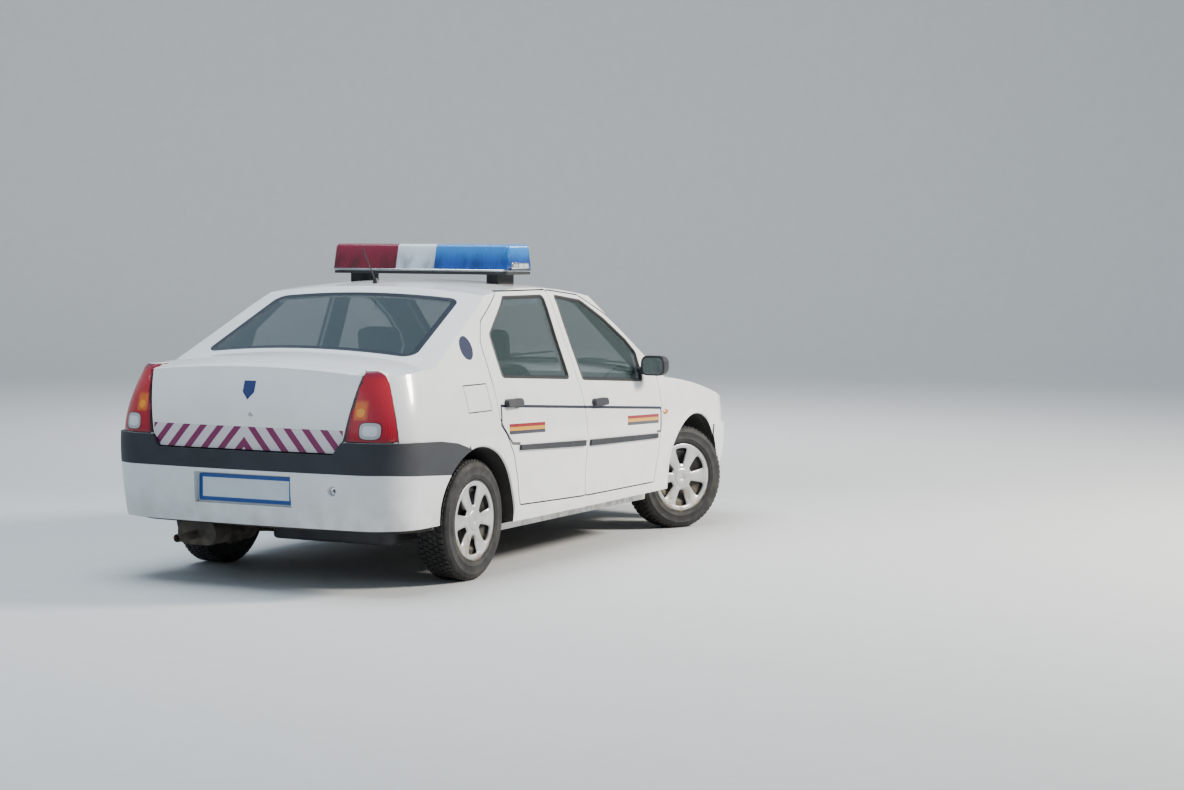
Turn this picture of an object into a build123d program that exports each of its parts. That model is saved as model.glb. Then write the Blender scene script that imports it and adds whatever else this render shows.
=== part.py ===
from build123d import *
import os
from math import asin, cos, radians, sin, tan

os.makedirs("parts", exist_ok=True)

# A four-door patrol saloon. Millimetres, +X forward, +Y to the car's left, +Z up.
# The origin is on the ground at mid length. The front wheels stand steered to the right.

# Overall sizes
LENGTH = 4247.0
REAR_TIP = -LENGTH / 2
FRONT_TIP = LENGTH / 2
WHEELBASE = 2630.0
FRONT_OVERHANG = 754.0
FRONT_AXLE_X = FRONT_TIP - FRONT_OVERHANG
REAR_AXLE_X = FRONT_AXLE_X - WHEELBASE
BELT_AT_MIDDLE = 940.0
BELT_SLOPE = -0.06
SHUT_GAP = 7.0
FIT = 0.3
RUNNING_FIT = 0.05

# Body sections from the bottom up: height, half width, rear x and front x on the centre line
SECTIONS = [
    (150, 790, -2040, 2050),
    (400, 853, -2085, 2100),
    (640, 868, -2100, 2090),
    (820, 862, -2090, 2050),
    (960, 829, -2060, 2000),
    (1140, 765, -2000, 1900),
    (1320, 703, -1950, 1800),
    (1420, 660, -1920, 1740),
    (1470, 615, -1900, 1710),
    (1510, 540, -1890, 1690),
]
REAR_CAMBER = 45.0
FRONT_CAMBER = 120.0
REAR_CORNER = 230.0
FRONT_CORNER = 320.0
REAR_TUCK = 22.0
FRONT_TUCK = 40.0

# The bonnet, boot and roof lines are crowned across the car about one far axis
CROWN_AXIS_Z = -3600.0
DECK_ARCS = [
    ((2085, 690), (2045, 745), (1985, 780)),
    ((1985, 780), (1560, 905), (1060, 985)),
    ((1060, 985), (-200, 1075), (-1480, 1152)),
    ((-1480, 1152), (-1740, 1138), (-1975, 1106)),
    ((-1975, 1106), (-2030, 1080), (-2075, 1000)),
]
ROOF_ARCS = [((1200, 1207), (-380, 1496), (-1700, 1296))]
ROOF_SKIN = 30.0
PANEL = 25.0

# Screens: foot and head of the crown line (x, z), and the radius across the car
SCREEN_FOOT = (1060, 985)
SCREEN_HEAD = (330, 1455)
SCREEN_RADIUS = 3280.0
BACKLIGHT_FOOT = (-1550, 1166)
BACKLIGHT_HEAD = (-948, 1443)
BACKLIGHT_RADIUS = 5200.0
SCREEN_GLASS = 5.0
PILLAR_DEPTH = 30.0

# Walls
DOOR_LOW = 62.0
DOOR_HIGH = 32.0
DOOR_SEAL = 8.0
WALL_LOW = 115.0
WALL_HIGH = 62.0
SIDE_GLASS_IN = 9.0
SIDE_GLASS = 4.0
WING_THICK = 40.0
FLOOR_BOTTOM = 195.0
FLOOR_TOP = 230.0
SILL_BOTTOM = 265.0
SILL_INNER_Y = 650.0
FIREWALL_X = 1000.0
BAY_REAR_X = 1080.0
BAY_FRONT_X = 1960.0
BAY_HALF_HIGH = 640.0
BULKHEAD_X = -1000.0
BULKHEAD = 15.0
SHELF_Z = 1003.0
SHELF = 18.0
BOOT_FLOOR = 330.0
REAR_FLOOR_X = -1018.0
REAR_FLOOR_HALF = 605.0
REAR_FLOOR_BOTTOM = 300.0
REAR_CORNER_X = -1600.0
BOOT_REAR_X = -2025.0
BOOT_WALL = 70.0

# Doors, seen from the side at the outer skin: x, z, running from the lower rear corner
FRONT_DOOR = [(-97, 330), (-97, 640), (-150, 985), (-188, 1441), (150, 1408), (415, 1297),
              (612, 1178), (765, 1062), (852, 945), (868, 700), (846, 470), (795, 326)]
REAR_DOOR = [(-845, 350), (-872, 480), (-930, 610), (-1078, 810), (-1078, 1190), (-1015, 1295),
             (-740, 1441), (-194, 1441), (-156, 985), (-103, 640), (-103, 330)]
FRONT_WINDOW = [(-92, 963), (-128, 1409), (160, 1376), (390, 1268), (582, 1150), (665, 1075), (650, 918)]
REAR_WINDOW = [(-962, 1015), (-962, 1225), (-700, 1411), (-262, 1411), (-250, 975)]
DOOR_SLANT = tan(radians(14.0))
DOOR_PLANE_Y = 900.0
SEAL_FLANGE = 26.0

# Wheels
TYRE_R = 305.0
TYRE_W = 185.0
RIM_R = 190.5
TRACK_FRONT = 1466.0
TRACK_REAR = 1456.0
KINGPIN_Y = 650.0
STEER_REST = -27.0
HUB_PIN_R = 22.0
ARCH_R_FRONT = 378.0
ARCH_R_REAR = 374.0
ARCH_SHIFT_REAR = -35.0
ARCH_IN_FRONT = 445.0
ARCH_IN_REAR = 590.0
ARCH_WALL = 12.0

# Towing eye socket in the rear bumper: y and z, bore radius and depth, and its face
TOW_EYE = (-511.0, 512.0)
TOW_EYE_R = 9.0
TOW_EYE_DEPTH = 30.0
TOW_EYE_FACE_X = REAR_TIP + 34.0

# Number plates
PLATE_W = 535.0
PLATE_H = 125.0
PLATE_THICK = 3.0
PLATE_REAR_Z = 497.0
PLATE_FRONT_Z = 420.0

# Fuel filler flap in the right rear quarter: x and z limits
FLAP_X = (-1376.0, -1156.0)
FLAP_Z = (856.0, 984.0)
FLAP_THICK = 4.0
FLAP_POCKET = 40.0
FLAP_GAP = 6.0

# Bumpers
BUMPER_TOP_REAR = 745.0
BAND_BOTTOM = 592.0
BAND_BOTTOM_SIDE = 560.0
BAND_BEND_X = -2050.0
BUMPER_BOTTOM = 262.0
REAR_BUMPER_BOTTOM = 322.0
REAR_BUMPER_X = -1560.0
BUMPER_TOP_FRONT = 600.0
BUMPER_OUT = 23.5
BUMPER_SIDE = 7.0
BUMPER_DEPTH = 75.0
BUMPER_SKIN = 24.0

# Aerial on the roof, behind the light bar
ANTENNA_X = -770.0
ANTENNA_Y = 70.0
ANTENNA_FOOT_R = 17.0
ANTENNA_FOOT_H = 26.0
ANTENNA_ROD_R = 3.0
ANTENNA_ROD = 222.0
ANTENNA_RAKE = 0.75


def hull(side, end):
    """Whole body form, drawn in by side at the flanks and by end at the front and rear."""
    with BuildPart() as solid:
        for z, half_width, rear_x, front_x in SECTIONS:
            with BuildSketch(Plane.XY.offset(z)) as section:
                with BuildLine():
                    w = half_width - side
                    rear_right = (rear_x + end + REAR_CAMBER, -(w - REAR_TUCK))
                    rear_left = (rear_x + end + REAR_CAMBER, w - REAR_TUCK)
                    front_left = (front_x - end - FRONT_CAMBER, w - FRONT_TUCK)
                    front_right = (front_x - end - FRONT_CAMBER, -(w - FRONT_TUCK))
                    ThreePointArc(rear_right, (rear_x + end, 0), rear_left)
                    ThreePointArc(rear_left, (0, w), front_left)
                    ThreePointArc(front_left, (front_x - end, 0), front_right)
                    ThreePointArc(front_right, (0, -w), rear_right)
                make_face()
                fillet(section.vertices().sort_by(Axis.X)[:2], REAR_CORNER - side / 2)
                fillet(section.vertices().sort_by(Axis.X)[-2:], FRONT_CORNER - side / 2)
        loft()
    return solid.part


def crowned(arcs, drop):
    """Everything under a lengthwise line, crowned across the car and lowered by drop."""
    def below(point):
        return (point[0], 2 * CROWN_AXIS_Z - point[1] + drop)

    first = arcs[0][0]
    last = arcs[-1][2]
    with BuildPart() as solid:
        with BuildSketch(Plane.XZ):
            with BuildLine():
                for start, middle, end in arcs:
                    ThreePointArc(below(start), below(middle), below(end))
                Polyline(below(last), below((last[0] - 250, 0)), (last[0] - 250, CROWN_AXIS_Z),
                         (first[0] + 250, CROWN_AXIS_Z), below((first[0] + 250, 0)), below(first))
            make_face()
        revolve(axis=Axis((0, 0, CROWN_AXIS_Z), (1, 0, 0)))
    return solid.part


def glass_plane(foot, head):
    """Plane of a screen: local x across the car, local y up the slope, z outward, at its foot."""
    slope = Vector(head[0] - foot[0], 0, head[1] - foot[1]).normalized()
    across = Vector(0, 1, 0) if slope.X < 0 else Vector(0, -1, 0)
    return Plane(origin=(foot[0], 0, foot[1]), x_dir=across, z_dir=across.cross(slope))


def under_screen(foot, head, radius, inset):
    """Everything behind a screen that is curved across the car, drawn in by inset."""
    plane = glass_plane(foot, head)
    start = plane.origin - plane.z_dir * radius - plane.y_dir * 3000
    with BuildPart() as solid:
        with BuildSketch(Plane(origin=start, x_dir=plane.x_dir, z_dir=plane.y_dir)):
            Circle(radius - inset)
        extrude(amount=7000)
    return solid.part


def half_width_at(z):
    """Half width of the body at a height, between the sections of the table."""
    for low, high in zip(SECTIONS, SECTIONS[1:]):
        if z <= high[0]:
            return low[1] + (high[1] - low[1]) * (z - low[0]) / (high[0] - low[0])
    return SECTIONS[-1][1]


def door_outline(points):
    """Points at the skin, moved to the plane that the door prism starts from."""
    return [(x - DOOR_SLANT * (DOOR_PLANE_Y - half_width_at(z)), z) for x, z in points]


def door_prism(points, grow, side):
    """Slanted prism through one side of the body over a door outline, side is +1 for left."""
    with BuildPart() as solid:
        with BuildSketch(Plane.XZ.offset(-DOOR_PLANE_Y)) as outline:
            Polygon(*door_outline(points), align=None)
            fillet(outline.vertices(), 14)
            if grow:
                offset(amount=grow, kind=Kind.INTERSECTION)
        extrude(amount=480, dir=(DOOR_SLANT, -1, 0))
    return solid.part if side > 0 else solid.part.mirror(Plane.XZ)


def side_prism(points, y_from, y_to, side=1):
    """Straight prism across the car over a side outline, between two distances from the middle."""
    with BuildPart() as solid:
        with BuildSketch(Plane.XZ.offset(-y_to)):
            Polygon(*points, align=None)
        extrude(amount=y_to - y_from)
    return solid.part if side > 0 else solid.part.mirror(Plane.XZ)


def end_prism(points, x_from, x_to):
    """Prism along the car over an outline seen from the front or rear, in y and z."""
    with BuildPart() as solid:
        with BuildSketch(Plane.YZ.offset(x_from)):
            Polygon(*points, align=None)
        extrude(amount=x_to - x_from)
    return solid.part


def block(x, y, z):
    """Plain block from pairs of limits."""
    with BuildPart() as solid:
        with BuildSketch(Plane.XY.offset(z[0])):
            with Locations(((x[0] + x[1]) / 2, (y[0] + y[1]) / 2)):
                Rectangle(x[1] - x[0], y[1] - y[0])
        extrude(amount=z[1] - z[0])
    return solid.part


def drum(x, z, radius, y_from, y_to):
    """Cylinder across the car."""
    with BuildPart() as solid:
        with BuildSketch(Plane.XZ.offset(-y_to)):
            with Locations((x, z)):
                Circle(radius)
        extrude(amount=y_to - y_from)
    return solid.part


def arc_at(arc, x):
    """Height and slope at x of an upper arc through three points."""
    (x1, z1), (x2, z2), (x3, z3) = arc
    double = 2 * (x1 * (z2 - z3) + x2 * (z3 - z1) + x3 * (z1 - z2))
    s1, s2, s3 = x1 ** 2 + z1 ** 2, x2 ** 2 + z2 ** 2, x3 ** 2 + z3 ** 2
    centre_x = (s1 * (z2 - z3) + s2 * (z3 - z1) + s3 * (z1 - z2)) / double
    centre_z = (s1 * (x3 - x2) + s2 * (x1 - x3) + s3 * (x2 - x1)) / double
    rise = ((x1 - centre_x) ** 2 + (z1 - centre_z) ** 2 - (x - centre_x) ** 2) ** 0.5
    return centre_z + rise, (centre_x - x) / rise


def belt(x, lift=0):
    """Height of the belt line under the side windows."""
    return BELT_AT_MIDDLE + BELT_SLOPE * x + lift


def write(builder, name):
    """Label a finished piece and write it."""
    builder.part.label = name
    export_step(builder.part, f"parts/{name}.step")


SIDES = [("left", 1), ("right", -1)]
FAR = 2400.0
BLANK = 40.0
WHEEL_Z = TYRE_R

# Forms that the panels are cut from
skin = hull(0, 0)
deck = crowned(DECK_ARCS, 0)
deck_inner = crowned(DECK_ARCS, PANEL)
roof_inner = crowned(ROOF_ARCS, ROOF_SKIN)
screen_inner = under_screen(SCREEN_FOOT, SCREEN_HEAD, SCREEN_RADIUS, PILLAR_DEPTH)
backlight_inner = under_screen(BACKLIGHT_FOOT, BACKLIGHT_HEAD, BACKLIGHT_RADIUS, PILLAR_DEPTH)
door_low_inner = hull(DOOR_LOW, DOOR_LOW)
door_high_inner = hull(DOOR_HIGH, DOOR_HIGH)
seal_low = hull(DOOR_LOW + DOOR_SEAL, DOOR_LOW)
seal_high = hull(DOOR_HIGH + DOOR_SEAL, DOOR_HIGH)
wall_low = hull(WALL_LOW, WALL_LOW)
wall_high = hull(WALL_HIGH, WALL_HIGH)

with BuildPart() as greenhouse:
    add(hull(-BLANK, -BLANK))
    add(crowned(ROOF_ARCS, 0), mode=Mode.INTERSECT)
    add(under_screen(SCREEN_FOOT, SCREEN_HEAD, SCREEN_RADIUS, 0), mode=Mode.INTERSECT)
    add(under_screen(BACKLIGHT_FOOT, BACKLIGHT_HEAD, BACKLIGHT_RADIUS, 0), mode=Mode.INTERSECT)

with BuildPart() as form:
    add(hull(-2 * BLANK, -2 * BLANK))
    add(deck, mode=Mode.INTERSECT)
    add(greenhouse.part)
    add(skin, mode=Mode.INTERSECT)
    add(block((-FAR, FAR), (-FAR, FAR), (0, FLOOR_BOTTOM)), mode=Mode.SUBTRACT)
    for name, side in SIDES:
        inner_y, outer_y = side * SILL_INNER_Y, side * FAR
        edge_y = side * (SILL_INNER_Y + 50)
        add(end_prism([(inner_y, 0), (outer_y, 0), (outer_y, SILL_BOTTOM), (edge_y, SILL_BOTTOM)],
                      -FAR, FAR), mode=Mode.SUBTRACT)
    with BuildSketch(Plane.XY):
        Polygon((REAR_FLOOR_X, -REAR_FLOOR_HALF), (REAR_FLOOR_X, REAR_FLOOR_HALF), (REAR_CORNER_X, REAR_FLOOR_HALF),
                (REAR_CORNER_X, FAR), (-FAR, FAR), (-FAR, -FAR), (REAR_CORNER_X, -FAR),
                (REAR_CORNER_X, -REAR_FLOOR_HALF), align=None)
    extrude(amount=REAR_FLOOR_BOTTOM, mode=Mode.SUBTRACT)

# Regions under and over the belt line
under_belt = side_prism([(-FAR, 0), (FAR, 0), (FAR, belt(FAR)), (-FAR, belt(-FAR))], -FAR, FAR)
over_belt = side_prism([(-FAR, belt(-FAR)), (FAR, belt(FAR)), (FAR, 2000), (-FAR, 2000)], -FAR, FAR)

with BuildPart() as door_core:
    add(door_low_inner)
    add(under_belt, mode=Mode.INTERSECT)
with BuildPart() as door_core_high:
    add(door_high_inner)
    add(over_belt, mode=Mode.INTERSECT)
with BuildPart() as seal_core:
    add(seal_low)
    add(under_belt, mode=Mode.INTERSECT)
with BuildPart() as seal_core_high:
    add(seal_high)
    add(over_belt, mode=Mode.INTERSECT)

# Wheel arches and the housings round them
arches = []
housings = []
for name, side in SIDES:
    for x, radius, inner_y in [(FRONT_AXLE_X, ARCH_R_FRONT, ARCH_IN_FRONT),
                               (REAR_AXLE_X + ARCH_SHIFT_REAR, ARCH_R_REAR, ARCH_IN_REAR)]:
        reach = (inner_y, FAR) if side > 0 else (-FAR, -inner_y)
        cover = (inner_y - ARCH_WALL, FAR) if side > 0 else (-FAR, -(inner_y - ARCH_WALL))
        arches.append(drum(x, WHEEL_Z, radius, *reach))
        housings.append(drum(x, WHEEL_Z, radius + ARCH_WALL, *cover))

# Door prisms by side: the door itself, its shut gap, and the way in behind the seal flange
DOORS = [("front", FRONT_DOOR, FRONT_WINDOW), ("rear", REAR_DOOR, REAR_WINDOW)]
HINGE_HEIGHTS = [(470, 540), (760, 830)]
HINGE_LEAF = (-8.0, -1.0)
HINGE_RELIEF = 8.0
LEADING_X = {"front": FRONT_DOOR[9][0], "rear": REAR_DOOR[-1][0]}
WINDOW_CORNER = 22.0


def window_prism(points, shrink, side):
    """Straight prism through one side over a window outline."""
    with BuildPart() as solid:
        with BuildSketch(Plane.XZ.offset(-DOOR_PLANE_Y)) as outline:
            Polygon(*points, align=None)
            fillet(outline.vertices(), WINDOW_CORNER)
            if shrink:
                offset(amount=-shrink)
        extrude(amount=480)
    return solid.part if side > 0 else solid.part.mirror(Plane.XZ)


def hinge_relief(place, side):
    """Notches in a door's leading inner corner, which passes over the hinge leaves as it opens."""
    with BuildPart() as solid:
        for low, high in HINGE_HEIGHTS:
            with BuildSketch(Plane.XY.offset(low - SHUT_GAP)):
                with Locations((LEADING_X[place] + HINGE_LEAF[1] + 40, side * DOOR_PLANE_Y)):
                    Rectangle(80, 400)
            extrude(amount=high - low + 2 * SHUT_GAP)
        add(hull(DOOR_LOW - HINGE_RELIEF, DOOR_LOW), mode=Mode.INTERSECT)
    return solid.part


side_glass_outer = hull(SIDE_GLASS_IN, SIDE_GLASS_IN)
side_glass_inner = hull(SIDE_GLASS_IN + SIDE_GLASS, SIDE_GLASS_IN + SIDE_GLASS)

for name, side in SIDES:
    for place, outline, window in DOORS:
        with BuildPart() as door:
            add(form.part)
            add(door_prism(outline, 0, side), mode=Mode.INTERSECT)
            add(door_core.part, mode=Mode.SUBTRACT)
            add(door_core_high.part, mode=Mode.SUBTRACT)
            add(window_prism(window, 0, side), mode=Mode.SUBTRACT)
            add(hinge_relief(place, side), mode=Mode.SUBTRACT)
        write(door, f"door_{place}_{name}")
        with BuildPart() as pane:
            add(side_glass_outer)
            add(window_prism(window, FIT, side), mode=Mode.INTERSECT)
            add(side_glass_inner, mode=Mode.SUBTRACT)
        write(pane, f"door_glass_{place}_{name}")

# Bonnet, cowl and boot lid regions
BONNET_REAR = (1062.0, 1112.0)
BONNET_HALF_REAR = 680.0
BONNET_HALF_FRONT = 560.0
BONNET_BOTTOM = 715.0
BONNET_RIM = 42.0
LID_FRONT_X = -1612.0
LID_OUTLINE = [(-505, 690), (-552, 752), (-612, 1062), (-625, 1250), (625, 1250), (612, 1062), (552, 752),
               (505, 690)]
LID_THICK = 30.0
BONNET_POST_X = (1150.0, 1190.0)
BONNET_POST_Y = (632.0, 656.0)
STRIKER_HALF = 30.0
STRIKER_Z = (764.0, 794.0)
BOOT_MOUTH = [(-500, 800), (500, 800), (545, 1060), (-545, 1060)]
COWL_HALF = 650.0
COWL_REAR_X = 900.0
COWL_THICK = 22.0


def bonnet_prism(grow):
    """Upright prism over the bonnet, grown by a gap all round."""
    half_rear = BONNET_HALF_REAR + grow
    half_front = BONNET_HALF_FRONT + grow
    side_x, middle_x = BONNET_REAR[0] - grow, BONNET_REAR[1] - grow
    with BuildPart() as solid:
        with BuildSketch(Plane.XY.offset(BONNET_BOTTOM - grow)):
            with BuildLine():
                ThreePointArc((side_x, half_rear), (middle_x, 0), (side_x, -half_rear))
                Polyline((side_x, -half_rear), (FAR, -half_front), (FAR, half_front), (side_x, half_rear))
            make_face()
        extrude(amount=600)
    return solid.part


def lid_prism(grow):
    """Prism along the car over the boot lid as seen from the rear."""
    with BuildPart() as solid:
        with BuildSketch(Plane.YZ.offset(-FAR)):
            Polygon(*LID_OUTLINE, align=None)
            if grow:
                offset(amount=grow, kind=Kind.INTERSECTION)
        extrude(amount=FAR + LID_FRONT_X + grow)
    return solid.part


bonnet_region = bonnet_prism(0)
bonnet_cut = bonnet_prism(SHUT_GAP)
with BuildPart() as bonnet:
    add(form.part)
    add(bonnet_region, mode=Mode.INTERSECT)
    add(deck_inner, mode=Mode.SUBTRACT)
write(bonnet, "bonnet")

with BuildPart() as lid_core:
    add(hull(0, LID_THICK))
    add(crowned(DECK_ARCS, LID_THICK), mode=Mode.INTERSECT)
with BuildPart() as boot_lid:
    add(form.part)
    add(lid_prism(0), mode=Mode.INTERSECT)
    add(lid_core.part, mode=Mode.SUBTRACT)
write(boot_lid, "boot_lid")

with BuildPart() as cowl_zone:
    add(block((COWL_REAR_X, FAR), (-COWL_HALF, COWL_HALF), (700, 1200)))
    add(bonnet_cut, mode=Mode.SUBTRACT)
    add(block((BONNET_REAR[1] + 60, FAR), (-FAR, FAR), (0, 1300)), mode=Mode.SUBTRACT)
with BuildPart() as cowl:
    add(deck)
    add(cowl_zone.part, mode=Mode.INTERSECT)
    add(crowned(DECK_ARCS, COWL_THICK), mode=Mode.SUBTRACT)
    add(under_screen(SCREEN_FOOT, SCREEN_HEAD, SCREEN_RADIUS, -FIT), mode=Mode.SUBTRACT)
write(cowl, "cowl_panel")

# Lamps, seen from the ends: y, z
TAIL_LAMP = [(540, 748), (810, 748), (718, 1010), (678, 1088), (590, 1088)]
HEAD_LAMP = [(455, 618), (800, 640), (800, 735), (640, 730), (430, 702)]
LAMP_DEPTH = 45.0
GRILLE_HALF = 415.0
GRILLE_BOTTOM = 618.0


def mirrored(points, side):
    """End-view points for one side of the car."""
    return [(side * y, z) for y, z in points]


def end_prism_side(points, side, x_from, x_to, grow=0):
    """End-view prism for one side, grown by a clearance."""
    with BuildPart() as solid:
        with BuildSketch(Plane.YZ.offset(x_from)) as outline:
            Polygon(*mirrored(points, side), align=None)
            fillet(outline.vertices(), 12)
            if grow:
                offset(amount=grow, kind=Kind.INTERSECTION)
        extrude(amount=x_to - x_from)
    return solid.part


lamp_core = hull(LAMP_DEPTH, LAMP_DEPTH)
lamp_pocket_core = hull(LAMP_DEPTH + FIT, LAMP_DEPTH + FIT)

tail_cuts = []
head_cuts = []
tail_solids = []
head_solids = []
for name, side in SIDES:
    with BuildPart() as lamp:
        add(form.part)
        add(end_prism_side(TAIL_LAMP, side, -FAR, REAR_AXLE_X - 400), mode=Mode.INTERSECT)
        add(lamp_core, mode=Mode.SUBTRACT)
        add(lid_prism(SHUT_GAP), mode=Mode.SUBTRACT)
    tail_solids.append(lamp.part)
    with BuildPart() as lamp:
        add(form.part)
        add(end_prism_side(HEAD_LAMP, side, FRONT_AXLE_X + 330, FAR), mode=Mode.INTERSECT)
        add(lamp_core, mode=Mode.SUBTRACT)
        add(bonnet_cut, mode=Mode.SUBTRACT)
    head_solids.append(lamp.part)
    with BuildPart() as pocket:
        add(end_prism_side(TAIL_LAMP, side, -FAR, REAR_AXLE_X - 400 + FIT, FIT))
        add(lamp_pocket_core, mode=Mode.SUBTRACT)
    tail_cuts.append(pocket.part)
    with BuildPart() as pocket:
        add(end_prism_side(HEAD_LAMP, side, FRONT_AXLE_X + 330 - FIT, FAR, FIT))
        add(lamp_pocket_core, mode=Mode.SUBTRACT)
    head_cuts.append(pocket.part)

with BuildPart() as tail_lamps:
    for solid in tail_solids:
        add(solid)
write(tail_lamps, "tail_lamps")
with BuildPart() as head_lamps:
    for solid in head_solids:
        add(solid)
write(head_lamps, "head_lamps")

# Bumpers wrap round the ends outside the body
bumper_out = hull(-BUMPER_SIDE, -BUMPER_OUT)
bumper_core = hull(BUMPER_SKIN, BUMPER_DEPTH)
bumper_seat = hull(BUMPER_SKIN + FIT, BUMPER_DEPTH + FIT)
FRONT_BUMPER_X = FRONT_AXLE_X + 330.0
REAR_ZONE = [(-FAR, REAR_BUMPER_BOTTOM), (REAR_BUMPER_X, REAR_BUMPER_BOTTOM), (REAR_BUMPER_X, BAND_BOTTOM_SIDE),
             (BAND_BEND_X, BAND_BOTTOM), (-FAR, BAND_BOTTOM)]
REAR_GAP_ZONE = [(-FAR, 0), (REAR_BUMPER_X, 0), (REAR_BUMPER_X, BAND_BOTTOM), (-FAR, BAND_BOTTOM)]
BAND_ZONE = [(-FAR, BAND_BOTTOM), (BAND_BEND_X, BAND_BOTTOM), (REAR_BUMPER_X, BAND_BOTTOM_SIDE), (-1384, 640), (-1384, 676), (-1520, 714),
             (-1670, 733), (-1900, BUMPER_TOP_REAR - 2), (-FAR, BUMPER_TOP_REAR - 2)]
FRONT_ZONE = [(FRONT_AXLE_X + 300, BUMPER_BOTTOM), (FAR, BUMPER_BOTTOM), (FAR, BUMPER_TOP_FRONT),
              (FRONT_AXLE_X + 300, BUMPER_TOP_FRONT)]

plate_recess = block((-FAR, REAR_TIP + 42), (-PLATE_W / 2 - 14, PLATE_W / 2 + 14),
                     (PLATE_REAR_Z - PLATE_H / 2 - 14, PLATE_REAR_Z + PLATE_H / 2 + 14))
front_intake = block((FRONT_TIP - 240, FAR), (-330, 330), (300, 345))
front_intake_low = block((FRONT_TIP - 240, FAR), (-300, 300), (500, 560))

with BuildPart() as rear_bumper:
    add(bumper_out)
    add(side_prism(REAR_ZONE, -FAR, FAR), mode=Mode.INTERSECT)
    add(bumper_core, mode=Mode.SUBTRACT)
    add(plate_recess, mode=Mode.SUBTRACT)
    with BuildSketch(Plane.YZ.offset(TOW_EYE_FACE_X - 60)):
        with Locations(TOW_EYE):
            Circle(TOW_EYE_R + 15)
    extrude(amount=60, mode=Mode.SUBTRACT)
    with BuildSketch(Plane.YZ.offset(TOW_EYE_FACE_X - 1)):
        with Locations(TOW_EYE):
            Circle(TOW_EYE_R)
    extrude(amount=1 + TOW_EYE_DEPTH, mode=Mode.SUBTRACT)
    for arch in arches:
        add(arch, mode=Mode.SUBTRACT)
write(rear_bumper, "rear_bumper")

with BuildPart() as rear_band:
    add(bumper_out)
    add(side_prism(BAND_ZONE, -FAR, FAR), mode=Mode.INTERSECT)
    add(bumper_core, mode=Mode.SUBTRACT)
    add(lid_prism(SHUT_GAP), mode=Mode.SUBTRACT)
    for arch in arches:
        add(arch, mode=Mode.SUBTRACT)
write(rear_band, "rear_bumper_band")

with BuildPart() as front_bumper:
    add(bumper_out)
    add(block((FRONT_TIP - 30 - FIT, FAR), (-PLATE_W / 2 - 10, PLATE_W / 2 + 10),
              (PLATE_FRONT_Z - PLATE_H / 2 - 8, PLATE_FRONT_Z + PLATE_H / 2 + 8)), mode=Mode.SUBTRACT)
    add(side_prism(FRONT_ZONE, -FAR, FAR), mode=Mode.INTERSECT)
    add(bumper_core, mode=Mode.SUBTRACT)
    add(front_intake, mode=Mode.SUBTRACT)
    add(front_intake_low, mode=Mode.SUBTRACT)
    for arch in arches:
        add(arch, mode=Mode.SUBTRACT)
write(front_bumper, "front_bumper")

# Grille between the head lamps
with BuildPart() as grille:
    add(form.part)
    add(block((FRONT_AXLE_X, FAR), (-GRILLE_HALF, GRILLE_HALF), (GRILLE_BOTTOM, 700)), mode=Mode.INTERSECT)
    add(lamp_core, mode=Mode.SUBTRACT)
    for z in (634, 660):
        add(block((FRONT_AXLE_X, FAR), (-GRILLE_HALF + 16, GRILLE_HALF - 16), (z, z + 18)),
            mode=Mode.SUBTRACT)
write(grille, "grille")

# Wing panels
WING_ZONE = [(600, SILL_BOTTOM), (FRONT_BUMPER_X - 30, SILL_BOTTOM), (FRONT_BUMPER_X - 30, BUMPER_TOP_FRONT + FIT),
             (FAR, BUMPER_TOP_FRONT + FIT), (FAR, 1010), (1062, 1010), (1010, 932), (600, 932)]
wing_core = hull(WING_THICK, WING_THICK)
wing_seat = hull(WING_THICK + FIT, WING_THICK + FIT)
with BuildPart() as wing_inner:
    add(wing_core)
    add(deck_inner, mode=Mode.INTERSECT)
with BuildPart() as wing_seat_form:
    add(wing_seat)
    add(crowned(DECK_ARCS, PANEL + FIT), mode=Mode.INTERSECT)

WING_INNER_Y = 420.0
wing_solids = []
for index, (name, side) in enumerate(SIDES):
    reach = (WING_INNER_Y, FAR) if side > 0 else (-FAR, -WING_INNER_Y)
    front_gap = door_prism(FRONT_DOOR, SHUT_GAP, side)
    with BuildPart() as wing:
        add(form.part)
        add(side_prism(WING_ZONE, *reach), mode=Mode.INTERSECT)
        add(wing_inner.part, mode=Mode.SUBTRACT)
        add(bonnet_cut, mode=Mode.SUBTRACT)
        add(cowl_zone.part, mode=Mode.SUBTRACT)
        add(front_gap, mode=Mode.SUBTRACT)
        add(head_cuts[index], mode=Mode.SUBTRACT)
        add(block((FRONT_AXLE_X, FAR), (-GRILLE_HALF - FIT, GRILLE_HALF + FIT), (0, 760)), mode=Mode.SUBTRACT)
        add(arches[2 * index], mode=Mode.SUBTRACT)
        add(block((0, 780), (-FAR, FAR), (0, 1200)), mode=Mode.SUBTRACT)
    wing_solids.append(wing.part)
with BuildPart() as front_wings:
    for solid in wing_solids:
        add(solid)
write(front_wings, "front_wings")

# Hollows inside the body
with BuildPart() as cabin:
    add(wall_low)
    add(block((BULKHEAD_X, FIREWALL_X), (-FAR, FAR), (FLOOR_TOP, 1100)), mode=Mode.INTERSECT)
    add(under_belt, mode=Mode.INTERSECT)
    for housing in housings:
        add(housing, mode=Mode.SUBTRACT)
with BuildPart() as cabin_high:
    add(wall_high)
    add(over_belt, mode=Mode.INTERSECT)
    add(roof_inner, mode=Mode.INTERSECT)
    add(screen_inner, mode=Mode.INTERSECT)
    add(backlight_inner, mode=Mode.INTERSECT)
    add(block((-1500, FIREWALL_X), (-FAR, FAR), (FLOOR_TOP, 2000)), mode=Mode.INTERSECT)

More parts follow.
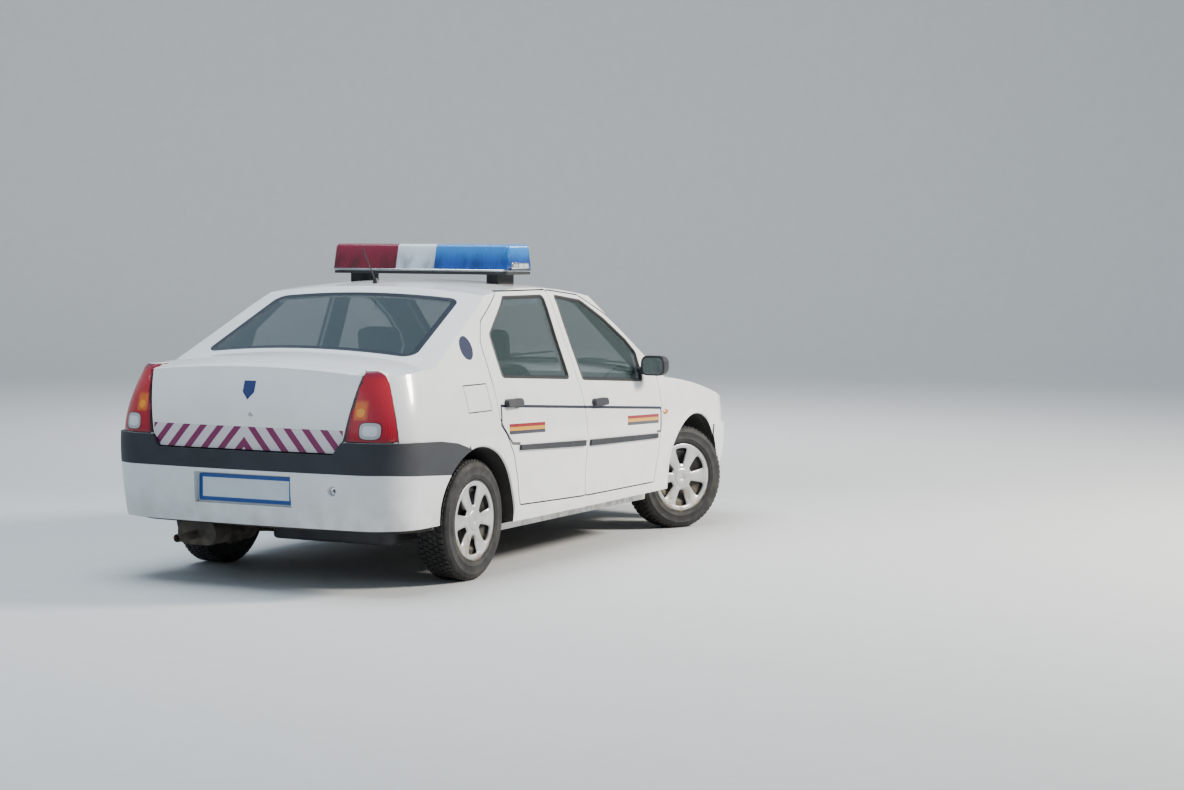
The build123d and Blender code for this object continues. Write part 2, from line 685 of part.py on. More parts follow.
with BuildPart() as boot:
    add(hull(BOOT_WALL, BOOT_WALL))
    add(crowned(DECK_ARCS, LID_THICK), mode=Mode.INTERSECT)
    add(block((-FAR, BULKHEAD_X - BULKHEAD), (-FAR, FAR), (BOOT_FLOOR, 1400)), mode=Mode.INTERSECT)
    add(block((LID_FRONT_X - 20, 0), (-FAR, FAR), (SHELF_Z - SHELF, 1600)), mode=Mode.SUBTRACT)
    add(block((-FAR, 0), (-FAR, -SECTIONS[3][1] + 170), (0, 1600)), mode=Mode.SUBTRACT)
    add(block((-FAR, 0), (SECTIONS[3][1] - 170, FAR), (0, 1600)), mode=Mode.SUBTRACT)
    for housing in housings:
        add(housing, mode=Mode.SUBTRACT)

with BuildPart() as bay:
    with BuildSketch(Plane.XY.offset(0)):
        Polygon((BAY_REAR_X, -BAY_HALF_HIGH), (BAY_FRONT_X, -BONNET_HALF_FRONT + BONNET_RIM),
                (BAY_FRONT_X, BONNET_HALF_FRONT - BONNET_RIM), (BAY_REAR_X, BAY_HALF_HIGH), align=None)
    extrude(amount=1400)
    for housing in housings:
        add(housing, mode=Mode.SUBTRACT)

# Low posts under the bonnet's rear corners, and the striker that the boot lid shuts on
with BuildPart() as bonnet_posts:
    for y in (BONNET_POST_Y, (-BONNET_POST_Y[1], -BONNET_POST_Y[0])):
        add(block(BONNET_POST_X, y, (BONNET_BOTTOM, FAR)))
    add(crowned(DECK_ARCS, PANEL + FIT), mode=Mode.INTERSECT)
with BuildPart() as bonnet_hole:
    add(bonnet_cut)
    add(crowned(DECK_ARCS, PANEL + DOOR_SEAL), mode=Mode.SUBTRACT)
    add(bonnet_posts.part, mode=Mode.SUBTRACT)
with BuildPart() as lid_seat:
    add(hull(0, LID_THICK + DOOR_SEAL))
    add(crowned(DECK_ARCS, LID_THICK + DOOR_SEAL), mode=Mode.INTERSECT)
with BuildPart() as striker:
    add(hull(0, LID_THICK + FIT))
    add(block((-FAR, BOOT_REAR_X), (-STRIKER_HALF, STRIKER_HALF), STRIKER_Z), mode=Mode.INTERSECT)
with BuildPart() as lid_hole:
    add(lid_prism(SHUT_GAP))
    add(lid_seat.part, mode=Mode.SUBTRACT)
    add(striker.part, mode=Mode.SUBTRACT)
with BuildPart() as cowl_hole:
    add(cowl_zone.part)
    add(crowned(DECK_ARCS, COWL_THICK + FIT), mode=Mode.SUBTRACT)
    add(under_screen(SCREEN_FOOT, SCREEN_HEAD, SCREEN_RADIUS, 0), mode=Mode.SUBTRACT)

SCREEN_SHAPE = [(-655, 22), (655, 22), (548, 828), (-548, 828)]
BACKLIGHT_SHAPE = [(-628, -12), (628, -12), (556, 640), (-556, 640)]
SCREEN_CORNER = 70.0


def screen_prism(foot, head, points, grow):
    """Prism square to a screen over its aperture."""
    plane = glass_plane(foot, head)
    start = Plane(origin=plane.origin + plane.z_dir * 60, x_dir=plane.x_dir, z_dir=plane.z_dir)
    with BuildPart() as solid:
        with BuildSketch(start) as outline:
            Polygon(*points, align=None)
            fillet(outline.vertices(), SCREEN_CORNER)
            if grow:
                offset(amount=grow)
        extrude(amount=-260)
    return solid.part


SCREENS = [("windscreen", SCREEN_FOOT, SCREEN_HEAD, SCREEN_RADIUS, SCREEN_SHAPE),
           ("rear_window", BACKLIGHT_FOOT, BACKLIGHT_HEAD, BACKLIGHT_RADIUS, BACKLIGHT_SHAPE)]
for name, foot, head, radius, points in SCREENS:
    with BuildPart() as pane:
        add(screen_prism(foot, head, points, -FIT))
        add(under_screen(foot, head, radius, 2), mode=Mode.INTERSECT)
        add(under_screen(foot, head, radius, 2 + SCREEN_GLASS), mode=Mode.SUBTRACT)
    write(pane, name)

with BuildPart() as body_shell:
    add(form.part)
    add(cabin.part, mode=Mode.SUBTRACT)
    add(cabin_high.part, mode=Mode.SUBTRACT)
    add(boot.part, mode=Mode.SUBTRACT)
    add(end_prism(BOOT_MOUTH, -FAR, BOOT_REAR_X + BOOT_WALL), mode=Mode.SUBTRACT)
    add(bay.part, mode=Mode.SUBTRACT)
    for name, foot, head, radius, points in SCREENS:
        add(screen_prism(foot, head, points, 0), mode=Mode.SUBTRACT)
    add(bonnet_hole.part, mode=Mode.SUBTRACT)
    add(lid_hole.part, mode=Mode.SUBTRACT)
    add(cowl_hole.part, mode=Mode.SUBTRACT)
    for arch in arches:
        add(arch, mode=Mode.SUBTRACT)


def hinge_blocks(place, side):
    """Two upright blocks where a door's hinge leaves stand on the body, one over the other."""
    x = LEADING_X[place]
    y = side * DOOR_PLANE_Y / 2
    with BuildPart() as solid:
        for low, high in HINGE_HEIGHTS:
            with BuildSketch(Plane.XY.offset(low)):
                with Locations((x + (HINGE_LEAF[0] + HINGE_LEAF[1]) / 2, y + side * 250)):
                    Rectangle(HINGE_LEAF[1] - HINGE_LEAF[0], 400)
            extrude(amount=high - low)
    return solid.part


door_cuts = []
for name, side in SIDES:
    for place, outline, window in DOORS:
        with BuildPart() as leaves:
            add(hull(DOOR_LOW + FIT, DOOR_LOW))
            add(hinge_blocks(place, side), mode=Mode.INTERSECT)
        with BuildPart() as gap:
            add(door_prism(outline, SHUT_GAP, side))
            add(seal_core.part, mode=Mode.SUBTRACT)
            add(seal_core_high.part, mode=Mode.SUBTRACT)
            add(leaves.part, mode=Mode.SUBTRACT)
        door_cuts.append(gap.part)
        door_cuts.append(door_prism(outline, -SEAL_FLANGE, side))

with BuildPart() as doored:
    add(body_shell.part)
    for cut in door_cuts:
        add(cut, mode=Mode.SUBTRACT)

# Regions of the shell that the wings, bumpers, lamps and grille take
with BuildPart() as wing_gap:
    add(side_prism(WING_ZONE, -FAR, FAR))
    add(wing_seat_form.part, mode=Mode.SUBTRACT)
    add(block((0, 780 - FIT), (-FAR, FAR), (0, 1200)), mode=Mode.SUBTRACT)
    add(block((0, FAR), (-WING_INNER_Y, WING_INNER_Y), (0, 1300)), mode=Mode.SUBTRACT)
with BuildPart() as bumper_gap:
    add(side_prism(REAR_GAP_ZONE, -FAR, FAR))
    add(side_prism(BAND_ZONE, -FAR, FAR))
    add(side_prism(FRONT_ZONE, -FAR, FAR))
    add(bumper_seat, mode=Mode.SUBTRACT)
with BuildPart() as valance_gap:
    add(block((BAY_FRONT_X - 40, FAR), (-FAR, FAR), (0, BUMPER_BOTTOM + 20)))
with BuildPart() as grille_gap:
    add(block((FRONT_AXLE_X, FAR), (-GRILLE_HALF - FIT, GRILLE_HALF + FIT), (GRILLE_BOTTOM - FIT, 709)))
    add(lamp_pocket_core, mode=Mode.SUBTRACT)

flap_outline = [(FLAP_X[0], FLAP_Z[0]), (FLAP_X[1], FLAP_Z[0]), (FLAP_X[1], FLAP_Z[1]), (FLAP_X[0], FLAP_Z[1])]
flap_opening = [(FLAP_X[0] - FLAP_GAP, FLAP_Z[0] - FLAP_GAP), (FLAP_X[1] + FLAP_GAP, FLAP_Z[0] - FLAP_GAP),
                (FLAP_X[1] + FLAP_GAP, FLAP_Z[1] + FLAP_GAP), (FLAP_X[0] - FLAP_GAP, FLAP_Z[1] + FLAP_GAP)]
with BuildPart() as fuel_flap:
    add(form.part)
    add(side_prism(flap_outline, -FAR, -500), mode=Mode.INTERSECT)
    add(hull(FLAP_THICK, FLAP_THICK), mode=Mode.SUBTRACT)
write(fuel_flap, "fuel_flap")
with BuildPart() as flap_hinge:
    add(hull(FLAP_THICK + FIT, FLAP_THICK))
    add(block((FLAP_X[1] - 14, FLAP_X[1] - 2), (-FAR, -500), (900, 940)), mode=Mode.INTERSECT)
with BuildPart() as flap_pocket:
    add(side_prism(flap_opening, -FAR, -500))
    add(hull(FLAP_POCKET, FLAP_POCKET), mode=Mode.SUBTRACT)
    add(flap_hinge.part, mode=Mode.SUBTRACT)

with BuildPart() as shell:
    add(doored.part)
    add(flap_pocket.part, mode=Mode.SUBTRACT)
    add(bumper_gap.part, mode=Mode.SUBTRACT)
    add(valance_gap.part, mode=Mode.SUBTRACT)
    add(wing_gap.part, mode=Mode.SUBTRACT)
    add(grille_gap.part, mode=Mode.SUBTRACT)
    for cut in tail_cuts + head_cuts:
        add(cut, mode=Mode.SUBTRACT)
write(shell, "body_shell")

# Wheels and tyres: profiles run round the axle, u outward from the wheel's middle plane, r from the axle
SPOKES = 6
SPOKE_WINDOW_IN = 85.0
SPOKE_WINDOW_OUT = 165.0
RIM_BORE_R = 176.0
DISC_U = (30.0, 62.0)
COVER_U = 82.0
HUB_U = 30.0
TYRE_PROFILE = [(-76, RIM_R + FIT), (-76, 209), (-88, 214), (-93, 248), (-86, 284), (-68, TYRE_R - 4),
                (0, TYRE_R), (68, TYRE_R - 4), (86, 284), (93, 248), (88, 214), (76, 209), (76, RIM_R + FIT)]


def wheel_plane(x, side, y_middle, turn):
    """Plane of a wheel: origin at its middle, local x along the axle outward, local y up."""
    outward = Vector(0, side, 0).rotate(Axis.Z, turn)
    if turn:
        kingpin = Vector(x, side * KINGPIN_Y, WHEEL_Z)
        middle = kingpin + outward * (y_middle - KINGPIN_Y)
    else:
        middle = Vector(x, side * y_middle, WHEEL_Z)
    return Plane(origin=middle, x_dir=outward, z_dir=outward.cross(Vector(0, 0, 1)))


WHEELS = [("front_left", FRONT_AXLE_X, 1, TRACK_FRONT / 2, STEER_REST),
          ("front_right", FRONT_AXLE_X, -1, TRACK_FRONT / 2, STEER_REST),
          ("rear_left", REAR_AXLE_X, 1, TRACK_REAR / 2, 0),
          ("rear_right", REAR_AXLE_X, -1, TRACK_REAR / 2, 0)]

for name, x, side, y_middle, turn in WHEELS:
    plane = wheel_plane(x, side, y_middle, turn)
    axle = Axis(plane.origin, plane.x_dir)
    with BuildPart() as tyre:
        with BuildSketch(plane):
            with BuildLine():
                Polyline(*TYRE_PROFILE[:3])
                ThreePointArc(*TYRE_PROFILE[2:5])
                Line(*TYRE_PROFILE[4:6])
                ThreePointArc(*TYRE_PROFILE[5:8])
                Line(*TYRE_PROFILE[7:9])
                ThreePointArc(*TYRE_PROFILE[8:11])
                Polyline(*TYRE_PROFILE[10:])
                Line(TYRE_PROFILE[-1], TYRE_PROFILE[0])
            make_face()
        revolve(axis=axle)
    write(tyre, f"tyre_{name}")
    with BuildPart() as wheel:
        with BuildSketch(plane):
            Polygon((-88, RIM_BORE_R), (-88, 207), (-77, 207), (-77, RIM_R), (77, RIM_R), (77, 207), (88, 207),
                    (88, 196), (COVER_U, 192), (COVER_U - 12, 150), (COVER_U + 2, 60), (COVER_U + 2, 0),
                    (DISC_U[0] + 12, 0), (DISC_U[0] + 12, HUB_PIN_R + RUNNING_FIT), (DISC_U[0], HUB_PIN_R + RUNNING_FIT),
                    (DISC_U[0], 80), (DISC_U[0] + 26, 150), (DISC_U[0] + 22, RIM_BORE_R), align=None)
        revolve(axis=axle)
        with BuildSketch(Plane(origin=plane.origin + plane.x_dir * 120, x_dir=(0, 0, 1), z_dir=plane.x_dir)):
            with PolarLocations(0, SPOKES, start_angle=90):
                Polygon((SPOKE_WINDOW_IN, -12), (SPOKE_WINDOW_OUT, -42), (SPOKE_WINDOW_OUT + 6, 0),
                        (SPOKE_WINDOW_OUT, 42), (SPOKE_WINDOW_IN, 12), align=None)
        extrude(amount=-108, mode=Mode.SUBTRACT)
    write(wheel, f"wheel_{name}")

# Knuckles carry the front wheels and turn on the kingpins
BALL_R = 12.0
ARM_Z = (172.0, 192.0)
for name, x, side, y_middle, turn in WHEELS[:2]:
    plane = wheel_plane(x, side, y_middle, turn)
    axle = Axis(plane.origin, plane.x_dir)
    hub_in = KINGPIN_Y - y_middle
    with BuildPart() as knuckle:
        with BuildSketch(plane):
            Polygon((hub_in - 25, 0), (DISC_U[0] + 11, 0), (DISC_U[0] + 11, HUB_PIN_R), (DISC_U[0] - FIT, HUB_PIN_R),
                    (DISC_U[0] - FIT, 70), (DISC_U[0] - 14, 70), (DISC_U[0] - 14, 128), (DISC_U[0] - 26, 128),
                    (DISC_U[0] - 26, 45), (hub_in - 25, 45), align=None)
        revolve(axis=axle)
        with BuildSketch(Plane(origin=(x, side * KINGPIN_Y, ARM_Z[0] + 2), x_dir=plane.x_dir, z_dir=(0, 0, 1))):
            Circle(BALL_R)
        extrude(amount=WHEEL_Z - ARM_Z[0] - 20)
        inner = Plane(origin=plane.origin + plane.x_dir * (hub_in - 60), x_dir=plane.x_dir, z_dir=(0, 0, 1))
        with BuildSketch(inner.offset(-20)):
            with Locations((25, 0)):
                Rectangle(90, 44)
        extrude(amount=40)
        with BuildSketch(inner.offset(-20)):
            Circle(24)
        extrude(amount=330)
    write(knuckle, f"knuckle_{name}")

# Front subframe with lower arms that hold the kingpins' lower balls
SUBFRAME_Z = (185.0, 225.0)
SUBFRAME_HALF = 400.0
SUBFRAME_FOOT_Y = (365.0, ARCH_IN_FRONT - ARCH_WALL - FIT)
with BuildPart() as subframe:
    add(block((FRONT_AXLE_X - 190, FRONT_AXLE_X - 70), (-SUBFRAME_HALF, SUBFRAME_HALF), SUBFRAME_Z))
    for side in (1, -1):
        with BuildSketch(Plane.XY.offset(ARM_Z[0])):
            Polygon((FRONT_AXLE_X - 190, side * 330), (FRONT_AXLE_X + 60, side * 330),
                    (FRONT_AXLE_X + 24, side * KINGPIN_Y), (FRONT_AXLE_X - 24, side * KINGPIN_Y), align=None)
            with Locations((FRONT_AXLE_X, side * KINGPIN_Y)):
                Circle(24)
        extrude(amount=ARM_Z[1] - ARM_Z[0])
        with BuildSketch(Plane.XY.offset(ARM_Z[0])):
            with Locations((FRONT_AXLE_X, side * KINGPIN_Y)):
                Circle(BALL_R + RUNNING_FIT)
        extrude(amount=60, mode=Mode.SUBTRACT)
    for y in (SUBFRAME_FOOT_Y, (-SUBFRAME_FOOT_Y[1], -SUBFRAME_FOOT_Y[0])):
        add(block((FRONT_AXLE_X - 190, FRONT_AXLE_X - 110), y, (ARM_Z[0], SUBFRAME_Z[1])))
write(subframe, "front_subframe")

# Rear twist beam: cross beam, trailing arms and stub axles
BEAM_X = REAR_AXLE_X + 190.0
ARM_Y = 575.0
with BuildPart() as rear_axle:
    add(block((BEAM_X - 40, BEAM_X + 40), (-ARM_Y, ARM_Y), (232, 292)))
    for side in (1, -1):
        add(block((REAR_AXLE_X - 45, BEAM_X + 40), (side * ARM_Y - 25, side * ARM_Y + 25),
                  (236, REAR_FLOOR_BOTTOM - FIT)))
    for name, x, side, y_middle, turn in WHEELS[2:]:
        plane = wheel_plane(x, side, y_middle, turn)
        with BuildSketch(plane):
            start = ARM_Y + 19 - y_middle
            Polygon((start, 0), (DISC_U[0] + 11, 0), (DISC_U[0] + 11, HUB_PIN_R), (DISC_U[0] - FIT, HUB_PIN_R),
                    (DISC_U[0] - FIT, 70), (DISC_U[0] - 14, 70), (DISC_U[0] - 14, 115), (DISC_U[0] - 55, 115),
                    (DISC_U[0] - 55, 45), (start, 45), align=None)
        revolve(axis=Axis(plane.origin, plane.x_dir))
write(rear_axle, "rear_axle")

# Engine as one plain block on the subframe
with BuildPart() as engine:
    add(block((FRONT_AXLE_X - 160, FRONT_AXLE_X + 330), (-360, 330), (SUBFRAME_Z[1] + FIT, 700)))
    fillet(engine.edges().filter_by(Axis.Z), 60)
write(engine, "engine_block")

# Fuel tank under the rear floor, ahead of the twist beam on the left
with BuildPart() as tank:
    add(block((REAR_AXLE_X - 330, REAR_AXLE_X + 130), (-530, 200), (190, REAR_FLOOR_BOTTOM - FIT)))
    fillet(tank.edges().filter_by(Axis.Z), 60)
    fillet(tank.edges().group_by(Axis.Z)[0], 20)
write(tank, "fuel_tank")

# Exhaust: one pipe under the floor with a box at the rear
PIPE_R = 22.0
MUFFLER_X = (-1935.0, -1575.0)
MUFFLER_Y = 400.0
MUFFLER_W = 230.0
MUFFLER_H = 118.0
MUFFLER_Z = REAR_FLOOR_BOTTOM - FIT - MUFFLER_H / 2
TAIL_PIPE_X = -2100.0
TAIL_PIPE_Z = 232.0
TAIL_PIPE_R = 21.0
with BuildPart() as exhaust:
    with BuildLine() as route:
        FilletPolyline((1120, 120, 168), (700, 40, 168), (-700, 40, 168), (-1040, 300, 168), (-1300, 400, 205),
                       (MUFFLER_X[1] - 65, MUFFLER_Y, MUFFLER_Z), radius=90)
    with BuildSketch(Plane(origin=route.line @ 0, z_dir=route.line % 0)):
        Circle(PIPE_R)
    sweep(path=route.line)
    with BuildSketch(Plane.YZ.offset(MUFFLER_X[0])):
        with Locations((MUFFLER_Y, MUFFLER_Z)):
            RectangleRounded(MUFFLER_W, MUFFLER_H, 50)
    extrude(amount=MUFFLER_X[1] - MUFFLER_X[0])
    with BuildSketch(Plane.YZ.offset(TAIL_PIPE_X)):
        with Locations((MUFFLER_Y, TAIL_PIPE_Z)):
            Circle(TAIL_PIPE_R)
    extrude(amount=MUFFLER_X[0] - TAIL_PIPE_X + 10)
    with BuildSketch(Plane.YZ.offset(TAIL_PIPE_X)):
        with Locations((MUFFLER_Y, TAIL_PIPE_Z)):
            Circle(TAIL_PIPE_R - 3)
    extrude(amount=60, mode=Mode.SUBTRACT)
write(exhaust, "exhaust")

# Seats, dashboard and steering wheel in the cabin
SEAT_Y = 345.0
SEAT_PROFILE = [(-60, FLOOR_TOP + FIT), (430, FLOOR_TOP + FIT), (470, 470), (430, 520), (40, 470), (-215, 1060),
                (-330, 1040), (-90, 420)]
REAR_PROFILE = [(-995, FLOOR_TOP + FIT), (-520, FLOOR_TOP + FIT), (-480, 500), (-520, 545), (-800, 500),
                (-925, 985), (-985, 985)]
with BuildPart() as seats:
    for side in (1, -1):
        with BuildSketch(Plane.XZ.offset(-side * SEAT_Y - 245)) as cut:
            Polygon(*SEAT_PROFILE, align=None)
            fillet(cut.vertices().sort_by(Axis.Y)[-4:], 26)
        extrude(amount=490)
        with BuildSketch(Plane.XZ.offset(-side * SEAT_Y - 125)) as cut:
            Polygon((-235, 1040), (-330, 1040), (-350, 1235), (-260, 1245), align=None)
            fillet(cut.vertices().sort_by(Axis.Y)[-2:], 30)
        extrude(amount=250)
    with BuildSketch(Plane.XZ.offset(-560)) as cut:
        Polygon(*REAR_PROFILE, align=None)
    extrude(amount=1120)
write(seats, "seats")

DASH = [(FIREWALL_X - FIT, 560), (640, 560), (560, 720), (600, 850), (740, 915), (FIREWALL_X - FIT, 875)]
DASH_HALF = 690.0
WHEEL_CENTRE = Vector(455, SEAT_Y, 800)
COLUMN_TILT = 24.0
RIM_MAJOR = 182.0
RIM_MINOR = 14.0
COLUMN_R = 20.0
with BuildPart() as dashboard:
    with BuildSketch(Plane.XZ.offset(-DASH_HALF)) as cut:
        Polygon(*DASH, align=None)
        fillet(cut.vertices().sort_by(Axis.X)[:3], 45)
    extrude(amount=2 * DASH_HALF)
steering_plane = Plane(origin=WHEEL_CENTRE, x_dir=(0, 1, 0),
                       z_dir=(-cos(radians(COLUMN_TILT)), 0, sin(radians(COLUMN_TILT))))
with BuildPart() as dash_full:
    add(dashboard.part)
    with BuildSketch(steering_plane.offset(-300)):
        Circle(38)
    extrude(amount=255)
    with BuildSketch(steering_plane.offset(-110)):
        Circle(COLUMN_R + RUNNING_FIT)
    extrude(amount=80, mode=Mode.SUBTRACT)
write(dash_full, "dashboard")
with BuildPart() as steering_wheel:
    with BuildSketch(Plane(origin=steering_plane.origin, x_dir=steering_plane.x_dir, z_dir=steering_plane.y_dir)):
        with Locations((RIM_MAJOR, 0)):
            Circle(RIM_MINOR)
    revolve(axis=Axis(steering_plane.origin, steering_plane.z_dir))
    with BuildSketch(steering_plane.offset(-44)):
        Circle(62)
    extrude(amount=40)
    with BuildSketch(steering_plane.offset(-108)):
        Circle(COLUMN_R)
    extrude(amount=80)
    for turn_angle in (STEER_REST, 180 + STEER_REST, 270 + STEER_REST):
        spoke = Plane(origin=steering_plane.origin, x_dir=steering_plane.x_dir.rotate(
            Axis((0, 0, 0), steering_plane.z_dir), turn_angle), z_dir=steering_plane.z_dir)
        with BuildSketch(spoke.offset(-14)):
            with Locations((RIM_MAJOR / 2, 0)):
                Rectangle(RIM_MAJOR, 30)
        extrude(amount=12)
write(steering_wheel, "steering_wheel")

# Roof light bar: two feet and a base that touch the roof, three lens blocks side by side
BAR_X = (-450.0, -150.0)
BAR_HALF = 550.0
BAR_Z = 1525.0
BAR_BASE = 22.0
BAR_TOP = 1710.0
RED_END = 140.0
BLUE_END = -100.0
BAR_ROUND = 38.0
bar_outline = [(BAR_X[0], BAR_Z + BAR_BASE + FIT), (BAR_X[1], BAR_Z + BAR_BASE + FIT), (BAR_X[1] - 34, BAR_TOP - 22),
               (BAR_X[0] + 34, BAR_TOP - 22)]
with BuildPart() as lightbar_base:
    with BuildSketch(Plane.XY.offset(BAR_Z)) as cut:
        with Locations(((BAR_X[0] + BAR_X[1]) / 2, 0)):
            RectangleRounded(BAR_X[1] - BAR_X[0], 2 * BAR_HALF, BAR_ROUND)
    extrude(amount=BAR_BASE)
    for side in (1, -1):
        add(block((BAR_X[0] + 60, BAR_X[1] - 60), (side * 430 - 35, side * 430 + 35), (1440, BAR_Z + 10)))
    add(crowned(ROOF_ARCS, 0), mode=Mode.SUBTRACT)
write(lightbar_base, "lightbar_base")
LENSES = [("red", RED_END + FIT / 2, BAR_HALF), ("clear", BLUE_END + FIT / 2, RED_END - FIT / 2),
          ("blue", -BAR_HALF, BLUE_END - FIT / 2)]
for name, y_from, y_to in LENSES:
    with BuildPart() as lens:
        with BuildSketch(Plane.XZ.offset(-y_to)) as cut:
            Polygon(*bar_outline, align=None)
            fillet(cut.vertices().sort_by(Axis.Y)[-2:], 26)
        extrude(amount=y_to - y_from)
        if name != "clear":
            end = 1 if name == "red" else -1
            fillet(lens.faces().sort_by(Axis.Y)[-1 if end > 0 else 0].edges(), 24)
    write(lens, f"lightbar_{name}")

# Aerial: a tapered foot that stands on the roof and a raked rod
roof_z, roof_slope = arc_at(ROOF_ARCS[0], ANTENNA_X)
roof_tilt = asin(ANTENNA_Y / (roof_z - CROWN_AXIS_Z))
antenna_reach = roof_z - CROWN_AXIS_Z + FIT
antenna_seat = Plane(origin=(ANTENNA_X, antenna_reach * sin(roof_tilt), CROWN_AXIS_Z + antenna_reach * cos(roof_tilt)),
                     x_dir=(0, cos(roof_tilt), -sin(roof_tilt)),
                     z_dir=(-roof_slope, sin(roof_tilt), cos(roof_tilt)))
with BuildPart() as antenna:
    with BuildSketch(antenna_seat):
        Circle(ANTENNA_FOOT_R)
    extrude(amount=ANTENNA_FOOT_H, taper=14)
    with BuildSketch(Plane(origin=antenna_seat.offset(ANTENNA_FOOT_H / 2).origin, x_dir=(0, 1, 0),
                           z_dir=(-ANTENNA_RAKE, 0, 1))):
        Circle(ANTENNA_ROD_R)
    extrude(amount=ANTENNA_ROD)
write(antenna, "antenna")

# Plates: blank, in the rear bumper's recess and on the front bumper
with BuildPart() as plates:
    add(block((REAR_TIP + 42 - PLATE_THICK, REAR_TIP + 42 - FIT), (-PLATE_W / 2, PLATE_W / 2),
              (PLATE_REAR_Z - PLATE_H / 2, PLATE_REAR_Z + PLATE_H / 2)))
    add(block((FRONT_TIP - 30, FRONT_TIP - 1), (-PLATE_W / 2, PLATE_W / 2),
              (PLATE_FRONT_Z - PLATE_H / 2, PLATE_FRONT_Z + PLATE_H / 2)))
write(plates, "number_plates")

# Door trim: handle and rub moulding on each door, mirror on the front doors
HANDLES = {"front": (42.0, 830.0), "rear": (-930.0, 880.0)}
MOULDING = {"front": [(-75, 596), (812, 575), (812, 603), (-75, 630)],
            "rear": [(-880, 632), (-138, 600), (-138, 632), (-880, 660)]}
HANDLE_SIZE = (160.0, 40.0)
trim_outer = hull(-12, -12)
handle_outer = hull(-26, -26)
trim_inner = hull(-FIT, -FIT)
MIRROR = (600.0, 925.0, 1004.0)
MIRROR_SIZE = (148.0, 112.0)
MIRROR_DEPTH = 100.0
MIRROR_ARM = (70.0, 44.0)
for name, side in SIDES:
    for place in ("front", "rear"):
        with BuildPart() as trim:
            add(trim_outer)
            add(side_prism(MOULDING[place], *((600, FAR) if side > 0 else (-FAR, -600))), mode=Mode.INTERSECT)
            add(trim_inner, mode=Mode.SUBTRACT)
        with BuildPart() as handle_reach:
            with BuildSketch(Plane.XZ.offset(-side * 750 - 150)):
                with Locations(HANDLES[place]):
                    RectangleRounded(*HANDLE_SIZE, 18)
            extrude(amount=300)
        with BuildPart() as handle:
            add(handle_outer)
            add(handle_reach.part, mode=Mode.INTERSECT)
            add(trim_inner, mode=Mode.SUBTRACT)
        with BuildPart() as trims:
            add(trim.part)
            add(handle.part)
            if place == "front":
                with BuildSketch(Plane(origin=(MIRROR[0], side * MIRROR[1], MIRROR[2]), x_dir=(0, 1, 0),
                                       z_dir=(1, 0, 0))):
                    RectangleRounded(*MIRROR_SIZE, 44)
                extrude(amount=MIRROR_DEPTH, taper=14)
                with BuildSketch(Plane(origin=(MIRROR[0] + MIRROR_DEPTH / 2, side * (MIRROR[1] - 35), MIRROR[2] - 32),
                                       x_dir=(1, 0, 0), z_dir=(0, -side, 0))):
                    RectangleRounded(*MIRROR_ARM, 14)
                extrude(amount=110)
                add(trim_inner, mode=Mode.SUBTRACT)
        write(trims, f"door_trim_{place}_{name}")
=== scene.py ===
"""Looks of a four-door patrol saloon with a roof light bar, dressed over its fixed solids."""
import logging
import math
from dataclasses import dataclass, field
from enum import Enum
from typing import Callable, Sequence

import bmesh
import bpy
from mathutils import Matrix, Vector
from mathutils.bvhtree import BVHTree

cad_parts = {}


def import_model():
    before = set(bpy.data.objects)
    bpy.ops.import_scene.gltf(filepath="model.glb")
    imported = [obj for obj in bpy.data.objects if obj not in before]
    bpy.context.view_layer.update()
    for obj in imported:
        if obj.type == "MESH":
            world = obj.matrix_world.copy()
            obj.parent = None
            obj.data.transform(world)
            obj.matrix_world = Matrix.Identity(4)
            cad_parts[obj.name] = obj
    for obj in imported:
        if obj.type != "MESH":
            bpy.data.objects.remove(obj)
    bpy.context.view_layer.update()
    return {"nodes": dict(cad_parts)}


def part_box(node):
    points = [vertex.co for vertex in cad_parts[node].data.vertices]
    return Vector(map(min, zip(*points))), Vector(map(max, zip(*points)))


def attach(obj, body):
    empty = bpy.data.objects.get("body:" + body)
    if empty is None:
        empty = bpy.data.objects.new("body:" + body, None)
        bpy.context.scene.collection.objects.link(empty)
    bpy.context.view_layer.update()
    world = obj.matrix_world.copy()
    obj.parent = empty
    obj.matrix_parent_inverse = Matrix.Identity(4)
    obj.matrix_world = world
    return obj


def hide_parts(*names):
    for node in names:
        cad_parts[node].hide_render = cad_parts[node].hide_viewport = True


LOG = logging.getLogger("patrol_car")
RGB = tuple[float, float, float]
Triple = tuple[float, float, float]
Pair = tuple[float, float]
Socket = bpy.types.NodeSocket
Value = float | Socket

# Axles, arch, wheel middles and king pins in metres, and the steering at rest.
FRONT_AXLE = 1.3695
REAR_AXLE = -1.2605
REAR_ARCH = -1.2955
WHEEL_Z = 0.305
STEER_REST = math.radians(-27.0)
KINGPIN_Y = 0.650
FRONT_TRACK_Y = 0.733
REAR_TRACK_Y = 0.728
# Where the rays toward the skin start, beside and behind the car.
BESIDE = 1.3
BEHIND = -3.0

# Colours, then the heights and noise levels between which dirt fades.
BODY_WHITE = (0.78, 0.78, 0.76)
LIVERY_INK = (0.022, 0.024, 0.040)
PLATE_BLUE = (0.012, 0.075, 0.30)
ROAD_DUST = (0.23, 0.19, 0.14)
DUST_FADE = (0.20, 0.62)
SPLASH_FADE = (0.21, 0.31)
SPLASH_EDGE = (0.42, 0.62)


class Side(Enum):
    """Side of the car, with the sign of Y."""

    LEFT = 1
    RIGHT = -1

    @property
    def word(self) -> str:
        """Word for it in the names of pieces."""
        return self.name.lower()


class Zone(Enum):
    """Region of a pressed panel, as the number of its material slot."""

    PAINT = 0
    TRIM = 1
    UNDER = 2


